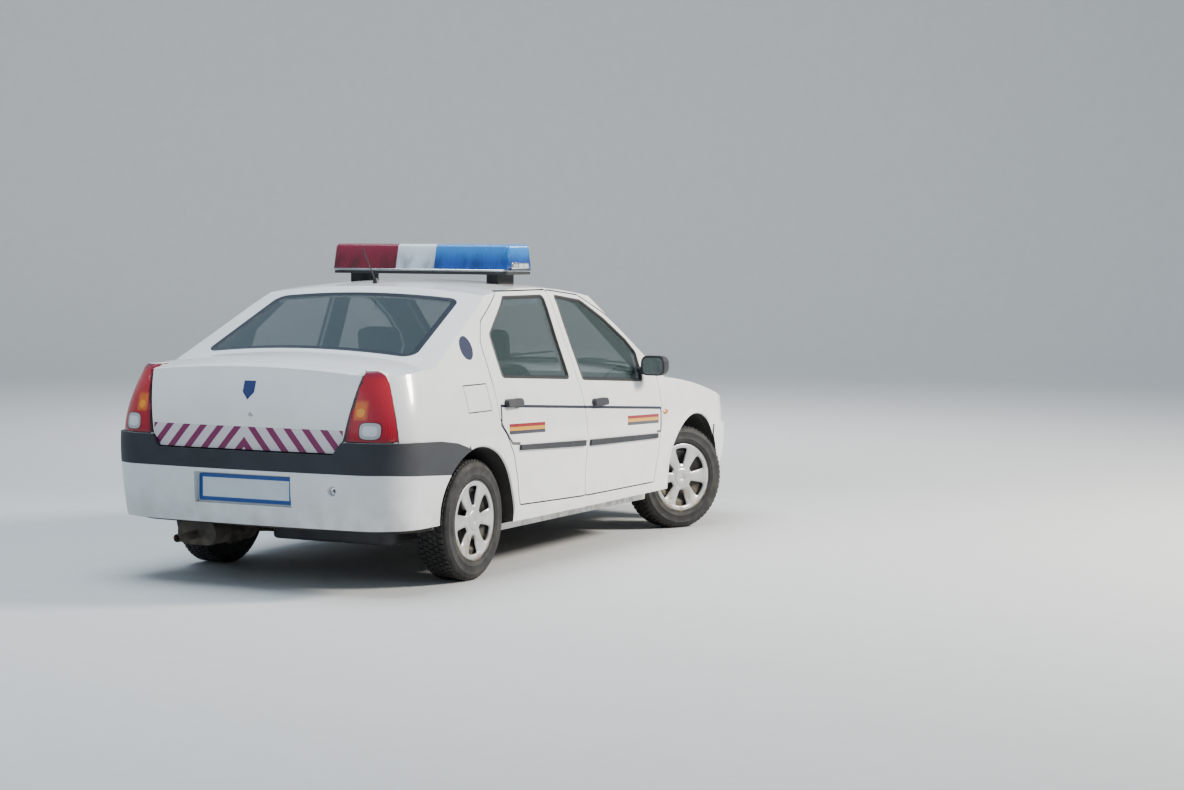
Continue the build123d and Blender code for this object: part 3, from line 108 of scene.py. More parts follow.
class Graph:
    """A material's node tree, written as short expressions over Object coordinates."""

    def __init__(self, name: str) -> None:
        """Makes the empty material with one main shader.

        Args:
            name: Name of the material.
        """
        self.material = bpy.data.materials.new(name)
        self.material.use_nodes = True
        self.tree = self.material.node_tree
        self.tree.nodes.clear()
        out = self.tree.nodes.new("ShaderNodeOutputMaterial")
        self.shader = self.tree.nodes.new("ShaderNodeBsdfPrincipled")
        self.tree.links.new(self.shader.outputs["BSDF"], out.inputs["Surface"])
        self.place = self.tree.nodes.new("ShaderNodeTexCoord").outputs["Object"]
        split = self.tree.nodes.new("ShaderNodeSeparateXYZ")
        self.tree.links.new(self.place, split.inputs[0])
        self.x, self.y, self.z = split.outputs[0], split.outputs[1], split.outputs[2]

    def feed(self, socket: Socket, value: Value | RGB) -> None:
        """Links or sets one input."""
        if isinstance(value, bpy.types.NodeSocket):
            self.tree.links.new(value, socket)
        elif isinstance(value, tuple):
            socket.default_value = (*value, 1.0) if socket.type == "RGBA" else value
        else:
            socket.default_value = value

    def math(self, operation: str, *values: Value) -> Socket:
        """One math node over numbers or sockets."""
        node = self.tree.nodes.new("ShaderNodeMath")
        node.operation = operation
        for socket, value in zip(node.inputs, values):
            self.feed(socket, value)
        return node.outputs[0]

    @property
    def across(self) -> Socket:
        """Distance from the middle plane of the car."""
        return self.math("ABSOLUTE", self.y)

    def add(self, first: Value, second: Value) -> Socket:
        """Sum of two values."""
        return self.math("ADD", first, second)

    def sub(self, first: Value, second: Value) -> Socket:
        """First value less the second."""
        return self.math("SUBTRACT", first, second)

    def mul(self, first: Value, second: Value) -> Socket:
        """Product of two values."""
        return self.math("MULTIPLY", first, second)

    def over(self, value: Value, limit: Value) -> Socket:
        """1 where a value is over a limit, else 0."""
        return self.math("GREATER_THAN", value, limit)

    def under(self, value: Value, limit: Value) -> Socket:
        """1 where a value is under a limit, else 0."""
        return self.math("LESS_THAN", value, limit)

    def wave(self, value: Value, rate: float) -> Socket:
        """Sine of a value times a rate."""
        return self.math("SINE", self.mul(value, rate))

    def square_length(self, first: Value, second: Value) -> Socket:
        """Square of the length of a flat vector."""
        return self.add(self.mul(first, first), self.mul(second, second))

    def mix(self, share: Value, first: Value | RGB, second: Value | RGB) -> Socket:
        """Colour between two, by a share from 0 to 1."""
        node = self.tree.nodes.new("ShaderNodeMix")
        node.data_type = "RGBA"
        self.feed(node.inputs[0], share)
        self.feed(node.inputs[6], first)
        self.feed(node.inputs[7], second)
        return node.outputs[2]

    def noise(self, scale: float, detail: float = 3.0, stretch: Triple = (1.0, 1.0, 1.0)) -> Socket:
        """Soft noise from 0 to 1.

        Args:
            scale: Features per metre.
            detail: Octaves of finer noise.
            stretch: Factor on each coordinate.

        Returns:
            The factor socket.
        """
        mapping = self.tree.nodes.new("ShaderNodeMapping")
        self.tree.links.new(self.place, mapping.inputs["Vector"])
        mapping.inputs["Scale"].default_value = stretch
        node = self.tree.nodes.new("ShaderNodeTexNoise")
        self.tree.links.new(mapping.outputs[0], node.inputs["Vector"])
        node.inputs["Scale"].default_value = scale
        node.inputs["Detail"].default_value = detail
        return node.outputs[0]

    def ramp(self, value: Value, low: float, high: float, start: float = 0.0, end: float = 1.0) -> Socket:
        """Smooth step of a value between two limits."""
        node = self.tree.nodes.new("ShaderNodeMapRange")
        node.interpolation_type = "SMOOTHSTEP"
        self.feed(node.inputs["Value"], value)
        for name, number in (("From Min", low), ("From Max", high), ("To Min", start), ("To Max", end)):
            node.inputs[name].default_value = number
        return node.outputs[0]

    def between(self, value: Value, low: float, high: float) -> Socket:
        """1 where a value lies between two limits, else 0."""
        return self.math("COMPARE", value, (low + high) / 2, (high - low) / 2)

    def all_of(self, *masks: Value) -> Socket:
        """Product of masks."""
        made = masks[0]
        for mask in masks[1:]:
            made = self.math("MULTIPLY", made, mask)
        return made

    def any_of(self, *masks: Value) -> Socket:
        """Highest of several masks."""
        made = masks[0]
        for mask in masks[1:]:
            made = self.math("MAXIMUM", made, mask)
        return made

    def stroke(self, u: Socket, v: Socket, points: Sequence[Pair], half: float) -> Socket:
        """Mask of a drawn line through points in two coordinates.

        Args:
            u: First coordinate.
            v: Second coordinate.
            points: Corners of the line.
            half: Half its width.

        Returns:
            1 on the line, else 0.
        """
        nearest: Value = 1.0
        for (u0, v0), (u1, v1) in zip(points, points[1:]):
            du, dv = u1 - u0, v1 - v0
            square = du * du + dv * dv
            along = self.add(self.mul(self.sub(u, u0), du / square), self.mul(self.sub(v, v0), dv / square))
            along = self.math("MINIMUM", self.math("MAXIMUM", along, 0.0), 1.0)
            off_u = self.sub(self.sub(u, u0), self.mul(along, du))
            off_v = self.sub(self.sub(v, v0), self.mul(along, dv))
            nearest = self.math("MINIMUM", nearest, self.math("SQRT", self.square_length(off_u, off_v)))
        return self.under(nearest, half)

    def disc(self, u: Socket, v: Socket, centre: Pair, radius: float) -> Socket:
        """Mask of a round spot in two coordinates."""
        away = self.square_length(self.sub(u, centre[0]), self.sub(v, centre[1]))
        return self.under(away, radius * radius)

    def bump(self, height: Socket, depth: float) -> None:
        """Raises the surface by a height map of the given depth in metres."""
        node = self.tree.nodes.new("ShaderNodeBump")
        node.inputs["Distance"].default_value = depth
        self.feed(node.inputs["Height"], height)
        self.tree.links.new(node.outputs[0], self.shader.inputs["Normal"])

    def set(self, name: str, value: Value | RGB) -> None:
        """Sets or links an input of the main shader."""
        self.feed(self.shader.inputs[name], value)


@dataclass(frozen=True)
class Finish:
    """A moulded or cast surface: colour, gloss, grain and road dust."""

    name: str
    colour: RGB
    roughness: float = 0.5
    metallic: float = 0.0
    coat: float = 0.0
    grain: float = 400.0
    depth: float = 0.0002
    patchy: float = 0.12
    dust: float = 0.0

    def colour_of(self, graph: Graph) -> Value | RGB:
        """Base colour with soft patches, before dust."""
        darker = tuple(c * (1.0 - self.patchy * 1.6) for c in self.colour)
        return graph.mix(graph.ramp(graph.noise(7.0, 4.0), 0.3, 0.75), darker, self.colour)

    def height_of(self, graph: Graph) -> Socket:
        """Fine grain of the surface."""
        return graph.noise(self.grain, 2.0)

    def finish_shader(self, graph: Graph) -> None:
        """Last settings that a kind of finish adds."""

    def material(self) -> bpy.types.Material:
        """Builds the material once.

        Returns:
            The material of this finish.
        """
        made = bpy.data.materials.get(self.name)
        if made:
            return made
        graph = Graph(self.name)
        colour = self.colour_of(graph)
        if self.dust:
            low = graph.ramp(graph.z, *DUST_FADE, 1.0, 0.0)
            share = graph.mul(graph.mul(low, graph.ramp(graph.noise(9.0, 6.0), 0.25, 0.8)), self.dust)
            splash = graph.all_of(graph.ramp(graph.z, *SPLASH_FADE, 1.0, 0.0),
                                  graph.ramp(graph.noise(16.0, 6.0), *SPLASH_EDGE))
            share = graph.any_of(share, graph.mul(splash, min(0.75, self.dust * 3.0)))
            colour = graph.mix(share, colour, ROAD_DUST)
            graph.set("Roughness", graph.add(self.roughness, graph.mul(share, 0.45)))
        else:
            wear = graph.ramp(graph.noise(23.0, 5.0), 0.2, 0.8, self.roughness * 0.85, self.roughness * 1.15)
            graph.set("Roughness", wear)
        graph.set("Base Color", colour)
        graph.set("Metallic", self.metallic)
        graph.set("Coat Weight", self.coat)
        graph.set("Coat Roughness", 0.05)
        graph.bump(self.height_of(graph), self.depth)
        self.finish_shader(graph)
        return graph.material


@dataclass(frozen=True)
class PaintFinish(Finish):
    """White body paint with the side and rear livery: lines, stripes, disc, shield and chevrons."""

    door_skin: float = 0.825
    flank: float = 0.70
    frame: tuple[Pair, ...] = ((-0.881, 0.667), (-0.957, 0.672), (-1.069, 0.774), (-1.052, 0.870),
                               (0.854, 0.748), (0.861, 0.612), (0.813, 0.613))
    frame_half: float = 0.0075
    stripes: tuple[tuple[float, float, RGB], ...] = (
        (0.725, 0.742, (0.26, 0.012, 0.018)), (0.706, 0.725, (0.62, 0.30, 0.025)), (0.688, 0.706, LIVERY_INK))
    stripe_runs: tuple[Pair, Pair] = ((-0.991, -0.604), (0.400, 0.827))
    stripe_fall: float = 0.032
    spot: Pair = (-1.237, 1.169)
    spot_radius: float = 0.060
    tail: float = -2.02
    chevrons: Pair = (0.686, 0.801)
    chevron_half: float = 0.552
    chevron_slope: float = 0.86
    chevron_pitch: float = 0.102
    shield: Pair = (0.930, 1.022)
    shield_half: float = 0.034

    def side_marks(self, graph: Graph, colour: Value | RGB) -> Socket:
        """Marks of both flanks."""
        skin = graph.over(graph.across, self.door_skin)
        tilted = graph.add(graph.z, graph.mul(graph.x, self.stripe_fall))
        reach = graph.any_of(*(graph.between(graph.x, *run) for run in self.stripe_runs))
        for low, high, tone in self.stripes:
            colour = graph.mix(graph.all_of(skin, reach, graph.between(tilted, low, high)), colour, tone)
        line = graph.stroke(graph.x, graph.z, self.frame, self.frame_half)
        colour = graph.mix(graph.all_of(skin, line), colour, LIVERY_INK)
        spot = graph.disc(graph.x, graph.z, self.spot, self.spot_radius)
        beside = graph.over(graph.across, self.flank)
        return graph.mix(graph.all_of(beside, spot), colour, (0.012, 0.016, 0.05))

    def rear_marks(self, graph: Graph, colour: Value | RGB) -> Socket:
        """Chevrons along the foot of the boot lid and the plain shield above them."""
        back, across = graph.under(graph.x, self.tail), graph.across
        low, high = self.chevrons
        band = graph.all_of(back, graph.under(graph.z, high), graph.over(graph.z, low),
                            graph.under(across, self.chevron_half))
        colour = graph.mix(band, colour, (0.62, 0.58, 0.60))
        slant = graph.add(across, graph.mul(graph.z, self.chevron_slope))
        step = graph.math("FRACT", graph.math("DIVIDE", graph.add(slant, 0.008), self.chevron_pitch))
        colour = graph.mix(graph.all_of(band, graph.under(step, 0.42)), colour, (0.19, 0.012, 0.085))
        foot = graph.over(graph.z, graph.add(self.shield[0], graph.mul(across, 1.1)))
        shield = graph.all_of(back, graph.under(across, self.shield_half), foot,
                              graph.under(graph.z, self.shield[1]))
        return graph.mix(shield, colour, (0.010, 0.025, 0.13))

    def colour_of(self, graph: Graph) -> Socket:
        """White with faint patches and the livery."""
        return self.rear_marks(graph, self.side_marks(graph, Finish.colour_of(self, graph)))


@dataclass(frozen=True)
class TailLensFinish(Finish):
    """Red lens with an amber window, a clear reversing window with round corners, and a dark cap."""

    window_place: Pair = (0.690, 0.802)
    window_half: Pair = (0.054, 0.044)
    lamp_place: Pair = (0.638, 0.888)
    lamp_radius: float = 0.020

    def window(self, graph: Graph, across: Socket, shrink: float) -> Socket:
        """Mask of the reversing window, a square with round corners."""
        shares = []
        for value, place, half in zip((across, graph.z), self.window_place, self.window_half):
            off = graph.math("ABSOLUTE", graph.math("DIVIDE", graph.sub(value, place), half - shrink))
            shares.append(graph.math("POWER", off, 3.5))
        return graph.under(graph.add(*shares), 1.0)

    def colour_of(self, graph: Graph) -> Socket:
        """Colour by place on the lens."""
        across = graph.across
        tone = graph.mix(graph.ramp(graph.z, 0.76, 1.04), self.colour, (0.40, 0.008, 0.020))
        edge = graph.ramp(graph.sub(across, graph.mul(graph.z, 0.12)), 0.478, 0.506, 1.0, 0.0)
        tone = graph.mix(graph.mul(edge, 0.75), tone, (0.10, 0.008, 0.035))
        tone = graph.mix(graph.mul(graph.ramp(graph.z, 1.040, 1.085), 0.8), tone, (0.12, 0.010, 0.045))
        height = graph.all_of(graph.ramp(graph.z, 0.846, 0.866), graph.ramp(graph.z, 0.925, 0.955, 1.0, 0.0))
        amber = graph.all_of(height, graph.ramp(across, 0.600, 0.612),
                             graph.ramp(across, 0.655, 0.680, 1.0, 0.0))
        tone = graph.mix(graph.mul(amber, 0.85), tone, (0.60, 0.14, 0.010))
        core = graph.disc(across, graph.z, self.lamp_place, self.lamp_radius)
        tone = graph.mix(graph.mul(core, 0.7), tone, (0.82, 0.34, 0.02))
        for shrink, shade in ((0.0, (0.12, 0.012, 0.03)), (0.005, (0.42, 0.44, 0.46)),
                              (0.020, (0.62, 0.66, 0.68))):
            tone = graph.mix(self.window(graph, across, shrink), tone, shade)
        return tone

    def height_of(self, graph: Graph) -> Socket:
        """Upright prism ribs."""
        return graph.wave(graph.y, 620.0)


@dataclass(frozen=True)
class LampBodyFinish(Finish):
    """Dark housing of a tail lamp, painted with the body where it reaches past the lens."""

    shoulder: float = 1.032
    head: float = 1.074
    lid_edge: float = 0.625

    def colour_of(self, graph: Graph) -> Socket:
        """Dark below, body white above, and red along the edge beside the boot lid."""
        above = graph.over(graph.z, self.shoulder)
        tone = graph.mix(above, self.colour, (0.22, 0.010, 0.030))
        outer = graph.any_of(graph.all_of(above, graph.over(graph.across, self.lid_edge)),
                             graph.over(graph.z, self.head))
        return graph.mix(outer, tone, BODY_WHITE)


@dataclass(frozen=True)
class HeadLensFinish(Finish):
    """Clear lens over two round bowls and an amber corner window."""

    bowls: tuple[tuple[Pair, float], ...] = (((0.655, 0.682), 0.045), ((0.555, 0.672), 0.036))
    rings: tuple[tuple[float, RGB], ...] = ((1.14, (0.035, 0.037, 0.040)), (1.0, (0.50, 0.53, 0.56)),
                                            (0.72, (0.24, 0.26, 0.28)), (0.50, (0.05, 0.05, 0.055)),
                                            (0.34, (0.70, 0.73, 0.76)))
    corner: float = 0.722

    def colour_of(self, graph: Graph) -> Socket:
        """Colour by place on the lens."""
        tone: Value | RGB = self.colour
        for centre, radius in self.bowls:
            for share, shade in self.rings:
                tone = graph.mix(graph.disc(graph.across, graph.z, centre, radius * share), tone, shade)
        return graph.mix(graph.over(graph.across, self.corner), tone, (0.62, 0.20, 0.012))

    def height_of(self, graph: Graph) -> Socket:
        """Faint vertical flutes."""
        return graph.wave(graph.y, 900.0)


@dataclass(frozen=True)
class DomeFinish(Finish):
    """Coloured lens of the roof bar, fluted, with a painted highlight that lightens it towards its top."""

    # Painted highlight: the lighter tone that the top of the lens is blended into.
    painted_top_highlight: RGB = (0.5, 0.5, 0.5)

    def colour_of(self, graph: Graph) -> Socket:
        """Lighter towards the top by a painted highlight, with the shade of the works behind the lens."""
        inner = graph.ramp(graph.noise(6.0, 2.0, (1.0, 2.4, 1.0)), 0.35, 0.65)
        dark = tuple(c * 0.55 for c in self.colour)
        body = graph.mix(inner, dark, self.colour)
        # Painted highlight: from z 1.58 to 1.685 the lens is blended into the highlight tone.
        return graph.mix(graph.ramp(graph.z, 1.58, 1.685), body, self.painted_top_highlight)

    def height_of(self, graph: Graph) -> Socket:
        """Upright flutes along the bar."""
        return graph.wave(graph.add(graph.y, graph.x), 420.0)

    def finish_shader(self, graph: Graph) -> None:
        """Lets some light through."""
        graph.set("Transmission Weight", 0.18)
        graph.set("IOR", 1.49)


@dataclass(frozen=True)
class GlassFinish(Finish):
    """Tinted window glass, with heater lines where the rear window has them."""

    heater: bool = False
    heated: Pair = (1.20, 1.41)
    lines_per_metre: float = 42.0
    veil: float = 0.36

    def colour_of(self, graph: Graph) -> Value | RGB:
        """Even tint, with fine lines for the heater."""
        tint = Finish.colour_of(self, graph)
        if not self.heater:
            return tint
        step = graph.math("FRACT", graph.mul(graph.z, self.lines_per_metre))
        line = graph.all_of(graph.between(graph.z, *self.heated), graph.under(step, 0.05))
        return graph.mix(line, tint, (0.05, 0.03, 0.02))

    def finish_shader(self, graph: Graph) -> None:
        """Clear and mirror-smooth: each face of a pane lets part of the light straight through."""
        graph.set("Alpha", self.veil)
        graph.set("Specular IOR Level", 1.0)


@dataclass(frozen=True)
class FabricFinish(Finish):
    """Woven seat cloth with sheen."""

    threads: float = 1400.0

    def height_of(self, graph: Graph) -> Socket:
        """Raised threads of two yarns crossing."""
        crossing = graph.add(graph.x, graph.z)
        return graph.mul(graph.wave(graph.y, self.threads), graph.wave(crossing, self.threads))

    def colour_of(self, graph: Graph) -> Socket:
        """Darker and lighter yarn."""
        weave = graph.ramp(self.height_of(graph), -0.6, 0.6)
        light = tuple(c * 1.9 for c in self.colour)
        return graph.mix(weave, Finish.colour_of(self, graph), light)

    def finish_shader(self, graph: Graph) -> None:
        """Soft rim light of cloth."""
        graph.set("Sheen Weight", 0.5)
        graph.set("Sheen Roughness", 0.4)


@dataclass(frozen=True)
class TyreFinish(Finish):
    """Rubber with moulded rings on the side wall and dust in them."""

    def colour_of(self, graph: Graph) -> Socket:
        """Black rubber, browner where dust lies."""
        share = graph.mul(graph.ramp(graph.noise(14.0, 5.0), 0.35, 0.8), 0.30)
        return graph.mix(share, Finish.colour_of(self, graph), (0.075, 0.066, 0.054))


@dataclass(frozen=True)
class PlateFinish(Finish):
    """Blank pale plate with a broad blue edge."""

    inner_half: Pair = (0.2525, 0.0475)
    front_middle: float = 0.420
    rear_middle: float = 0.497

    def colour_of(self, graph: Graph) -> Socket:
        """Blue round the edge, pale inside."""
        rear = graph.under(graph.x, 0.0)
        middle = graph.add(self.front_middle, graph.mul(rear, self.rear_middle - self.front_middle))
        up = graph.math("ABSOLUTE", graph.sub(graph.z, middle))
        edge = graph.any_of(graph.over(graph.across, self.inner_half[0]), graph.over(up, self.inner_half[1]))
        return graph.mix(edge, Finish.colour_of(self, graph), PLATE_BLUE)


class Finishes:
    """Every finish of the car, by what it is on."""

    paint = PaintFinish("WhitePaint", BODY_WHITE, 0.26, coat=0.7, grain=900.0, depth=0.00002, patchy=0.03,
                        dust=0.20)
    bumper = Finish("BumperWhite", (0.72, 0.74, 0.75), 0.36, coat=0.3, grain=700.0, depth=0.00004,
                    patchy=0.04, dust=0.55)
    band = Finish("BumperBand", (0.017, 0.021, 0.029), 0.58, grain=600.0, depth=0.00025, patchy=0.2,
                  dust=0.06)
    trim = Finish("BlackTrim", (0.020, 0.021, 0.024), 0.46, grain=700.0, depth=0.0002, patchy=0.2)
    rub = Finish("RubMoulding", (0.017, 0.018, 0.026), 0.55, grain=700.0, depth=0.0002, patchy=0.2)
    seal = Finish("WindowSeal", (0.012, 0.012, 0.014), 0.62, grain=500.0, depth=0.0001)
    glass = GlassFinish("SideGlass", (0.045, 0.070, 0.068), 0.02, coat=1.0, grain=2.0, depth=0.00005,
                        patchy=0.03)
    rear_glass = GlassFinish("RearGlass", (0.040, 0.066, 0.070), 0.02, coat=1.0, grain=2.0, depth=0.00005,
                             patchy=0.03, heater=True)
    frit = Finish("ScreenBorder", (0.010, 0.013, 0.022), 0.18, grain=900.0, depth=0.00002)
    tail = TailLensFinish("TailLens", (0.34, 0.006, 0.020), 0.20, coat=0.3, depth=0.0003)
    lamp_body = LampBodyFinish("LampBody", (0.030, 0.010, 0.014), 0.35, coat=0.3, grain=700.0, depth=0.0001)
    head = HeadLensFinish("HeadLens", (0.20, 0.22, 0.24), 0.12, coat=0.9, depth=0.0005)
    # Each dome's last colour is the painted highlight tone of its top.
    red_dome = DomeFinish("RedDome", (0.17, 0.002, 0.016), 0.22, coat=0.25, depth=0.0009,
                          painted_top_highlight=(0.24, 0.006, 0.032))
    blue_dome = DomeFinish("BlueDome", (0.006, 0.075, 0.40), 0.20, coat=0.4, depth=0.0009,
                           painted_top_highlight=(0.03, 0.26, 0.72))
    white_dome = DomeFinish("WhiteDome", (0.66, 0.74, 0.78), 0.2, coat=0.8, depth=0.0009,
                            painted_top_highlight=(0.80, 0.86, 0.88))
    chrome = Finish("Chrome", (0.78, 0.79, 0.80), 0.14, metallic=1.0, grain=60.0, depth=0.00005)
    mirror = Finish("MirrorGlass", (0.86, 0.88, 0.90), 0.03, metallic=1.0, grain=3.0, depth=0.00002,
                    patchy=0.02)
    cover = Finish("WheelCover", (0.56, 0.57, 0.58), 0.34, metallic=0.55, coat=0.4, grain=1200.0,
                   depth=0.00004, patchy=0.1, dust=0.35)
    steel = Finish("BlackSteel", (0.018, 0.018, 0.020), 0.55, metallic=0.3, grain=250.0, depth=0.0003,
                   dust=0.3)
    cast = Finish("CastIron", (0.085, 0.080, 0.078), 0.65, metallic=0.7, grain=350.0, depth=0.0006, dust=0.4)
    pipe = Finish("PipeSteel", (0.075, 0.066, 0.058), 0.62, metallic=0.6, grain=120.0, depth=0.0003,
                  patchy=0.4, dust=0.4)
    alloy = Finish("CastAlloy", (0.42, 0.42, 0.42), 0.48, metallic=0.9, grain=260.0, depth=0.0005)
    rubber = TyreFinish("TyreRubber", (0.013, 0.013, 0.014), 0.75, grain=420.0, depth=0.0003, patchy=0.2)
    under = Finish("Underseal", (0.020, 0.019, 0.018), 0.85, grain=160.0, depth=0.0012, patchy=0.3, dust=0.3)
    cabin = Finish("CabinPlastic", (0.055, 0.056, 0.062), 0.6, grain=500.0, depth=0.00008)
    carpet = Finish("CabinLining", (0.085, 0.084, 0.086), 0.95, grain=450.0, depth=0.00025, patchy=0.25)
    cloth = FabricFinish("SeatCloth", (0.060, 0.062, 0.072), 0.9, depth=0.0004)
    plate = PlateFinish("BlankPlate", (0.62, 0.68, 0.72), 0.35, grain=500.0, depth=0.00005, patchy=0.05)
    plate_rim = Finish("PlateRimBlue", PLATE_BLUE, 0.4, grain=500.0, depth=0.00005, patchy=0.05)
    tank = Finish("TankPlastic", (0.62, 0.62, 0.56), 0.42, grain=500.0, depth=0.0002)
    amber = Finish("AmberLens", (0.62, 0.20, 0.02), 0.2, coat=0.5, grain=1400.0, depth=0.0004)


FINISHES = Finishes()


def station(line: Sequence[Pair], at: float) -> float:
    """Value at a place along a run of (place, value) stations, held level past both ends."""
    for (start, first), (end, last) in zip(line, line[1:]):
        if at <= end:
            return first + (last - first) * max(0.0, at - start) / (end - start)
    return line[-1][1]


def seen_beside(tree: BVHTree, side: Side, x: float, z: float) -> Vector | None:
    """Point of a skin seen straight from one side of the car, or None."""
    return tree.ray_cast(Vector((x, side.value * BESIDE, z)), Vector((0, -side.value, 0)))[0]


def seen_behind(tree: BVHTree, y: float, z: float) -> Vector | None:
    """Point of a skin seen straight from behind the car, or None."""
    return tree.ray_cast(Vector((BEHIND, y, z)), Vector((1, 0, 0)))[0]


class Mould:
    """Plain mesh forms, made in the car's own frame."""

    @staticmethod
    def piece(name: str, mesh: bpy.types.Mesh, finish: Finish | None, body: str, smooth: float = 35.0,
              replaces: Sequence[str] = (), slot: str | None = None) -> bpy.types.Object:
        """Links a mesh as a finished piece that rides on a body.

        Args:
            name: Name of the piece.
            mesh: Its mesh in metres, in place.
            finish: Finish of its only slot, or None to keep the mesh's materials.
            body: Body that it rides on.
            smooth: Angle in degrees under which edges are shaded smooth.
            replaces: Nodes that it stands for.
            slot: Name of a material slot; not used.

        Returns:
            The object.
        """
        made = bpy.data.objects.new(name, mesh)
        bpy.context.scene.collection.objects.link(made)
        if finish:
            mesh.materials.clear()
            mesh.materials.append(finish.material())
        mesh.polygons.foreach_set("use_smooth", [True] * len(mesh.polygons))
        mesh.set_sharp_from_angle(angle=math.radians(smooth))
        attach(made, body)
        if replaces:
            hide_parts(*replaces)
        LOG.info("piece %s: %d faces", name, len(mesh.polygons))
        return made

    @staticmethod
    def as_is(name: str, shape: bmesh.types.BMesh) -> bpy.types.Mesh:
        """Turns a working mesh into a mesh and frees it."""
        mesh = bpy.data.meshes.new(name)
        shape.to_mesh(mesh)
        shape.free()
        return mesh

    @staticmethod
    def from_bmesh(name: str, shape: bmesh.types.BMesh) -> bpy.types.Mesh:
        """Merges the doubles of a closed working mesh and turns its faces outwards."""
        bmesh.ops.remove_doubles(shape, verts=shape.verts, dist=1e-6)
        bmesh.ops.recalc_face_normals(shape, faces=shape.faces)
        return Mould.as_is(name, shape)

    @staticmethod
    def wall(piece: bpy.types.Object, thickness: float, offset: float) -> None:
        """Gives an open surface its thickness."""
        made = piece.modifiers.new("Wall", "SOLIDIFY")
        made.thickness = thickness
        made.offset = offset

    @staticmethod
    def span(shape: bmesh.types.BMesh, rows: Sequence[Sequence[bmesh.types.BMVert]],
             closed: bool = True) -> None:
        """Fills between successive rows of points, each row closed on itself or open."""
        for row, following in zip(rows, rows[1:]):
            for k in range(len(row) if closed else len(row) - 1):
                n = (k + 1) % len(row)
                shape.faces.new([row[k], row[n], following[n], following[k]])

    @staticmethod
    def revolve(name: str, profile: Sequence[Pair], steps: int, place: Matrix) -> bpy.types.Mesh:
        """Closed profile of (radius, height) turned about local Z.

        Args:
            name: Name of the mesh.
            profile: Closed run of points.
            steps: Number of steps round.
            place: Matrix into the car's frame.

        Returns:
            The mesh.
        """
        shape = bmesh.new()
        rings = []
        for index in range(steps):
            angle = 2 * math.pi * index / steps
            rings.append([shape.verts.new(place @ Vector((r * math.cos(angle), r * math.sin(angle), h)))
                          for r, h in profile])
        for index, ring in enumerate(rings):
            following = rings[(index + 1) % steps]
            for k in range(len(profile)):
                n = (k + 1) % len(profile)
                corners = [ring[k], following[k], following[n], ring[n]]
                if len({tuple(round(c, 7) for c in v.co) for v in corners}) > 2:
                    shape.faces.new(corners)
        return Mould.from_bmesh(name, shape)

    @staticmethod
    def box(name: str, low: Sequence[float], high: Sequence[float], bevel: float = 0.004,
            segments: int = 2) -> bpy.types.Mesh:
        """Rounded block between two corners."""
        shape = bmesh.new()
        bmesh.ops.create_cube(shape, size=1.0)
        for vert in shape.verts:
            vert.co = Vector([low[i] + (vert.co[i] + 0.5) * (high[i] - low[i]) for i in range(3)])
        bmesh.ops.bevel(shape, geom=list(shape.edges), offset=bevel, segments=segments, affect="EDGES",
                        profile=0.5)
        return Mould.from_bmesh(name, shape)

    @staticmethod
    def tube(name: str, points: Sequence[Vector], radii: Sequence[float], steps: int = 10) -> bpy.types.Mesh:
        """Tube of varying radius through points, closed at both ends."""
        sections = []
        for index, (point, radius) in enumerate(zip(points, radii)):
            before, after = points[max(0, index - 1)], points[min(len(points) - 1, index + 1)]
            turn = (after - before).normalized().to_track_quat("Z", "Y").to_matrix()
            sections.append([point + turn @ Vector((radius * math.cos(a), radius * math.sin(a), 0))
                             for a in (2 * math.pi * k / steps for k in range(steps))])
        return Mould.sweep(name, sections)

    @staticmethod
    def sweep(name: str, sections: Sequence[Sequence[Vector]]) -> bpy.types.Mesh:
        """Solid through matching closed sections, with flat ends."""
        shape = bmesh.new()
        rings = [[shape.verts.new(p) for p in section] for section in sections]
        Mould.span(shape, rings)
        shape.faces.new(rings[0][::-1])
        shape.faces.new(rings[-1])
        return Mould.from_bmesh(name, shape)

    @staticmethod
    def band(name: str, rows: Sequence[Sequence[Vector]]) -> bpy.types.Mesh:
        """Closed ring through matching closed rows of points, the last row joined to the first."""
        shape = bmesh.new()
        rings = [[shape.verts.new(p) for p in row] for row in rows]
        Mould.span(shape, [*rings, rings[0]])
        return Mould.from_bmesh(name, shape)

    @staticmethod
    def strip(name: str, rows: Sequence[Sequence[Vector]], depth: Vector) -> bpy.types.Mesh:
        """Closed band through matching closed rows of points, with a thickness along one vector."""
        return Mould.band(name, [*rows, *([p + depth for p in row] for row in reversed(rows))])


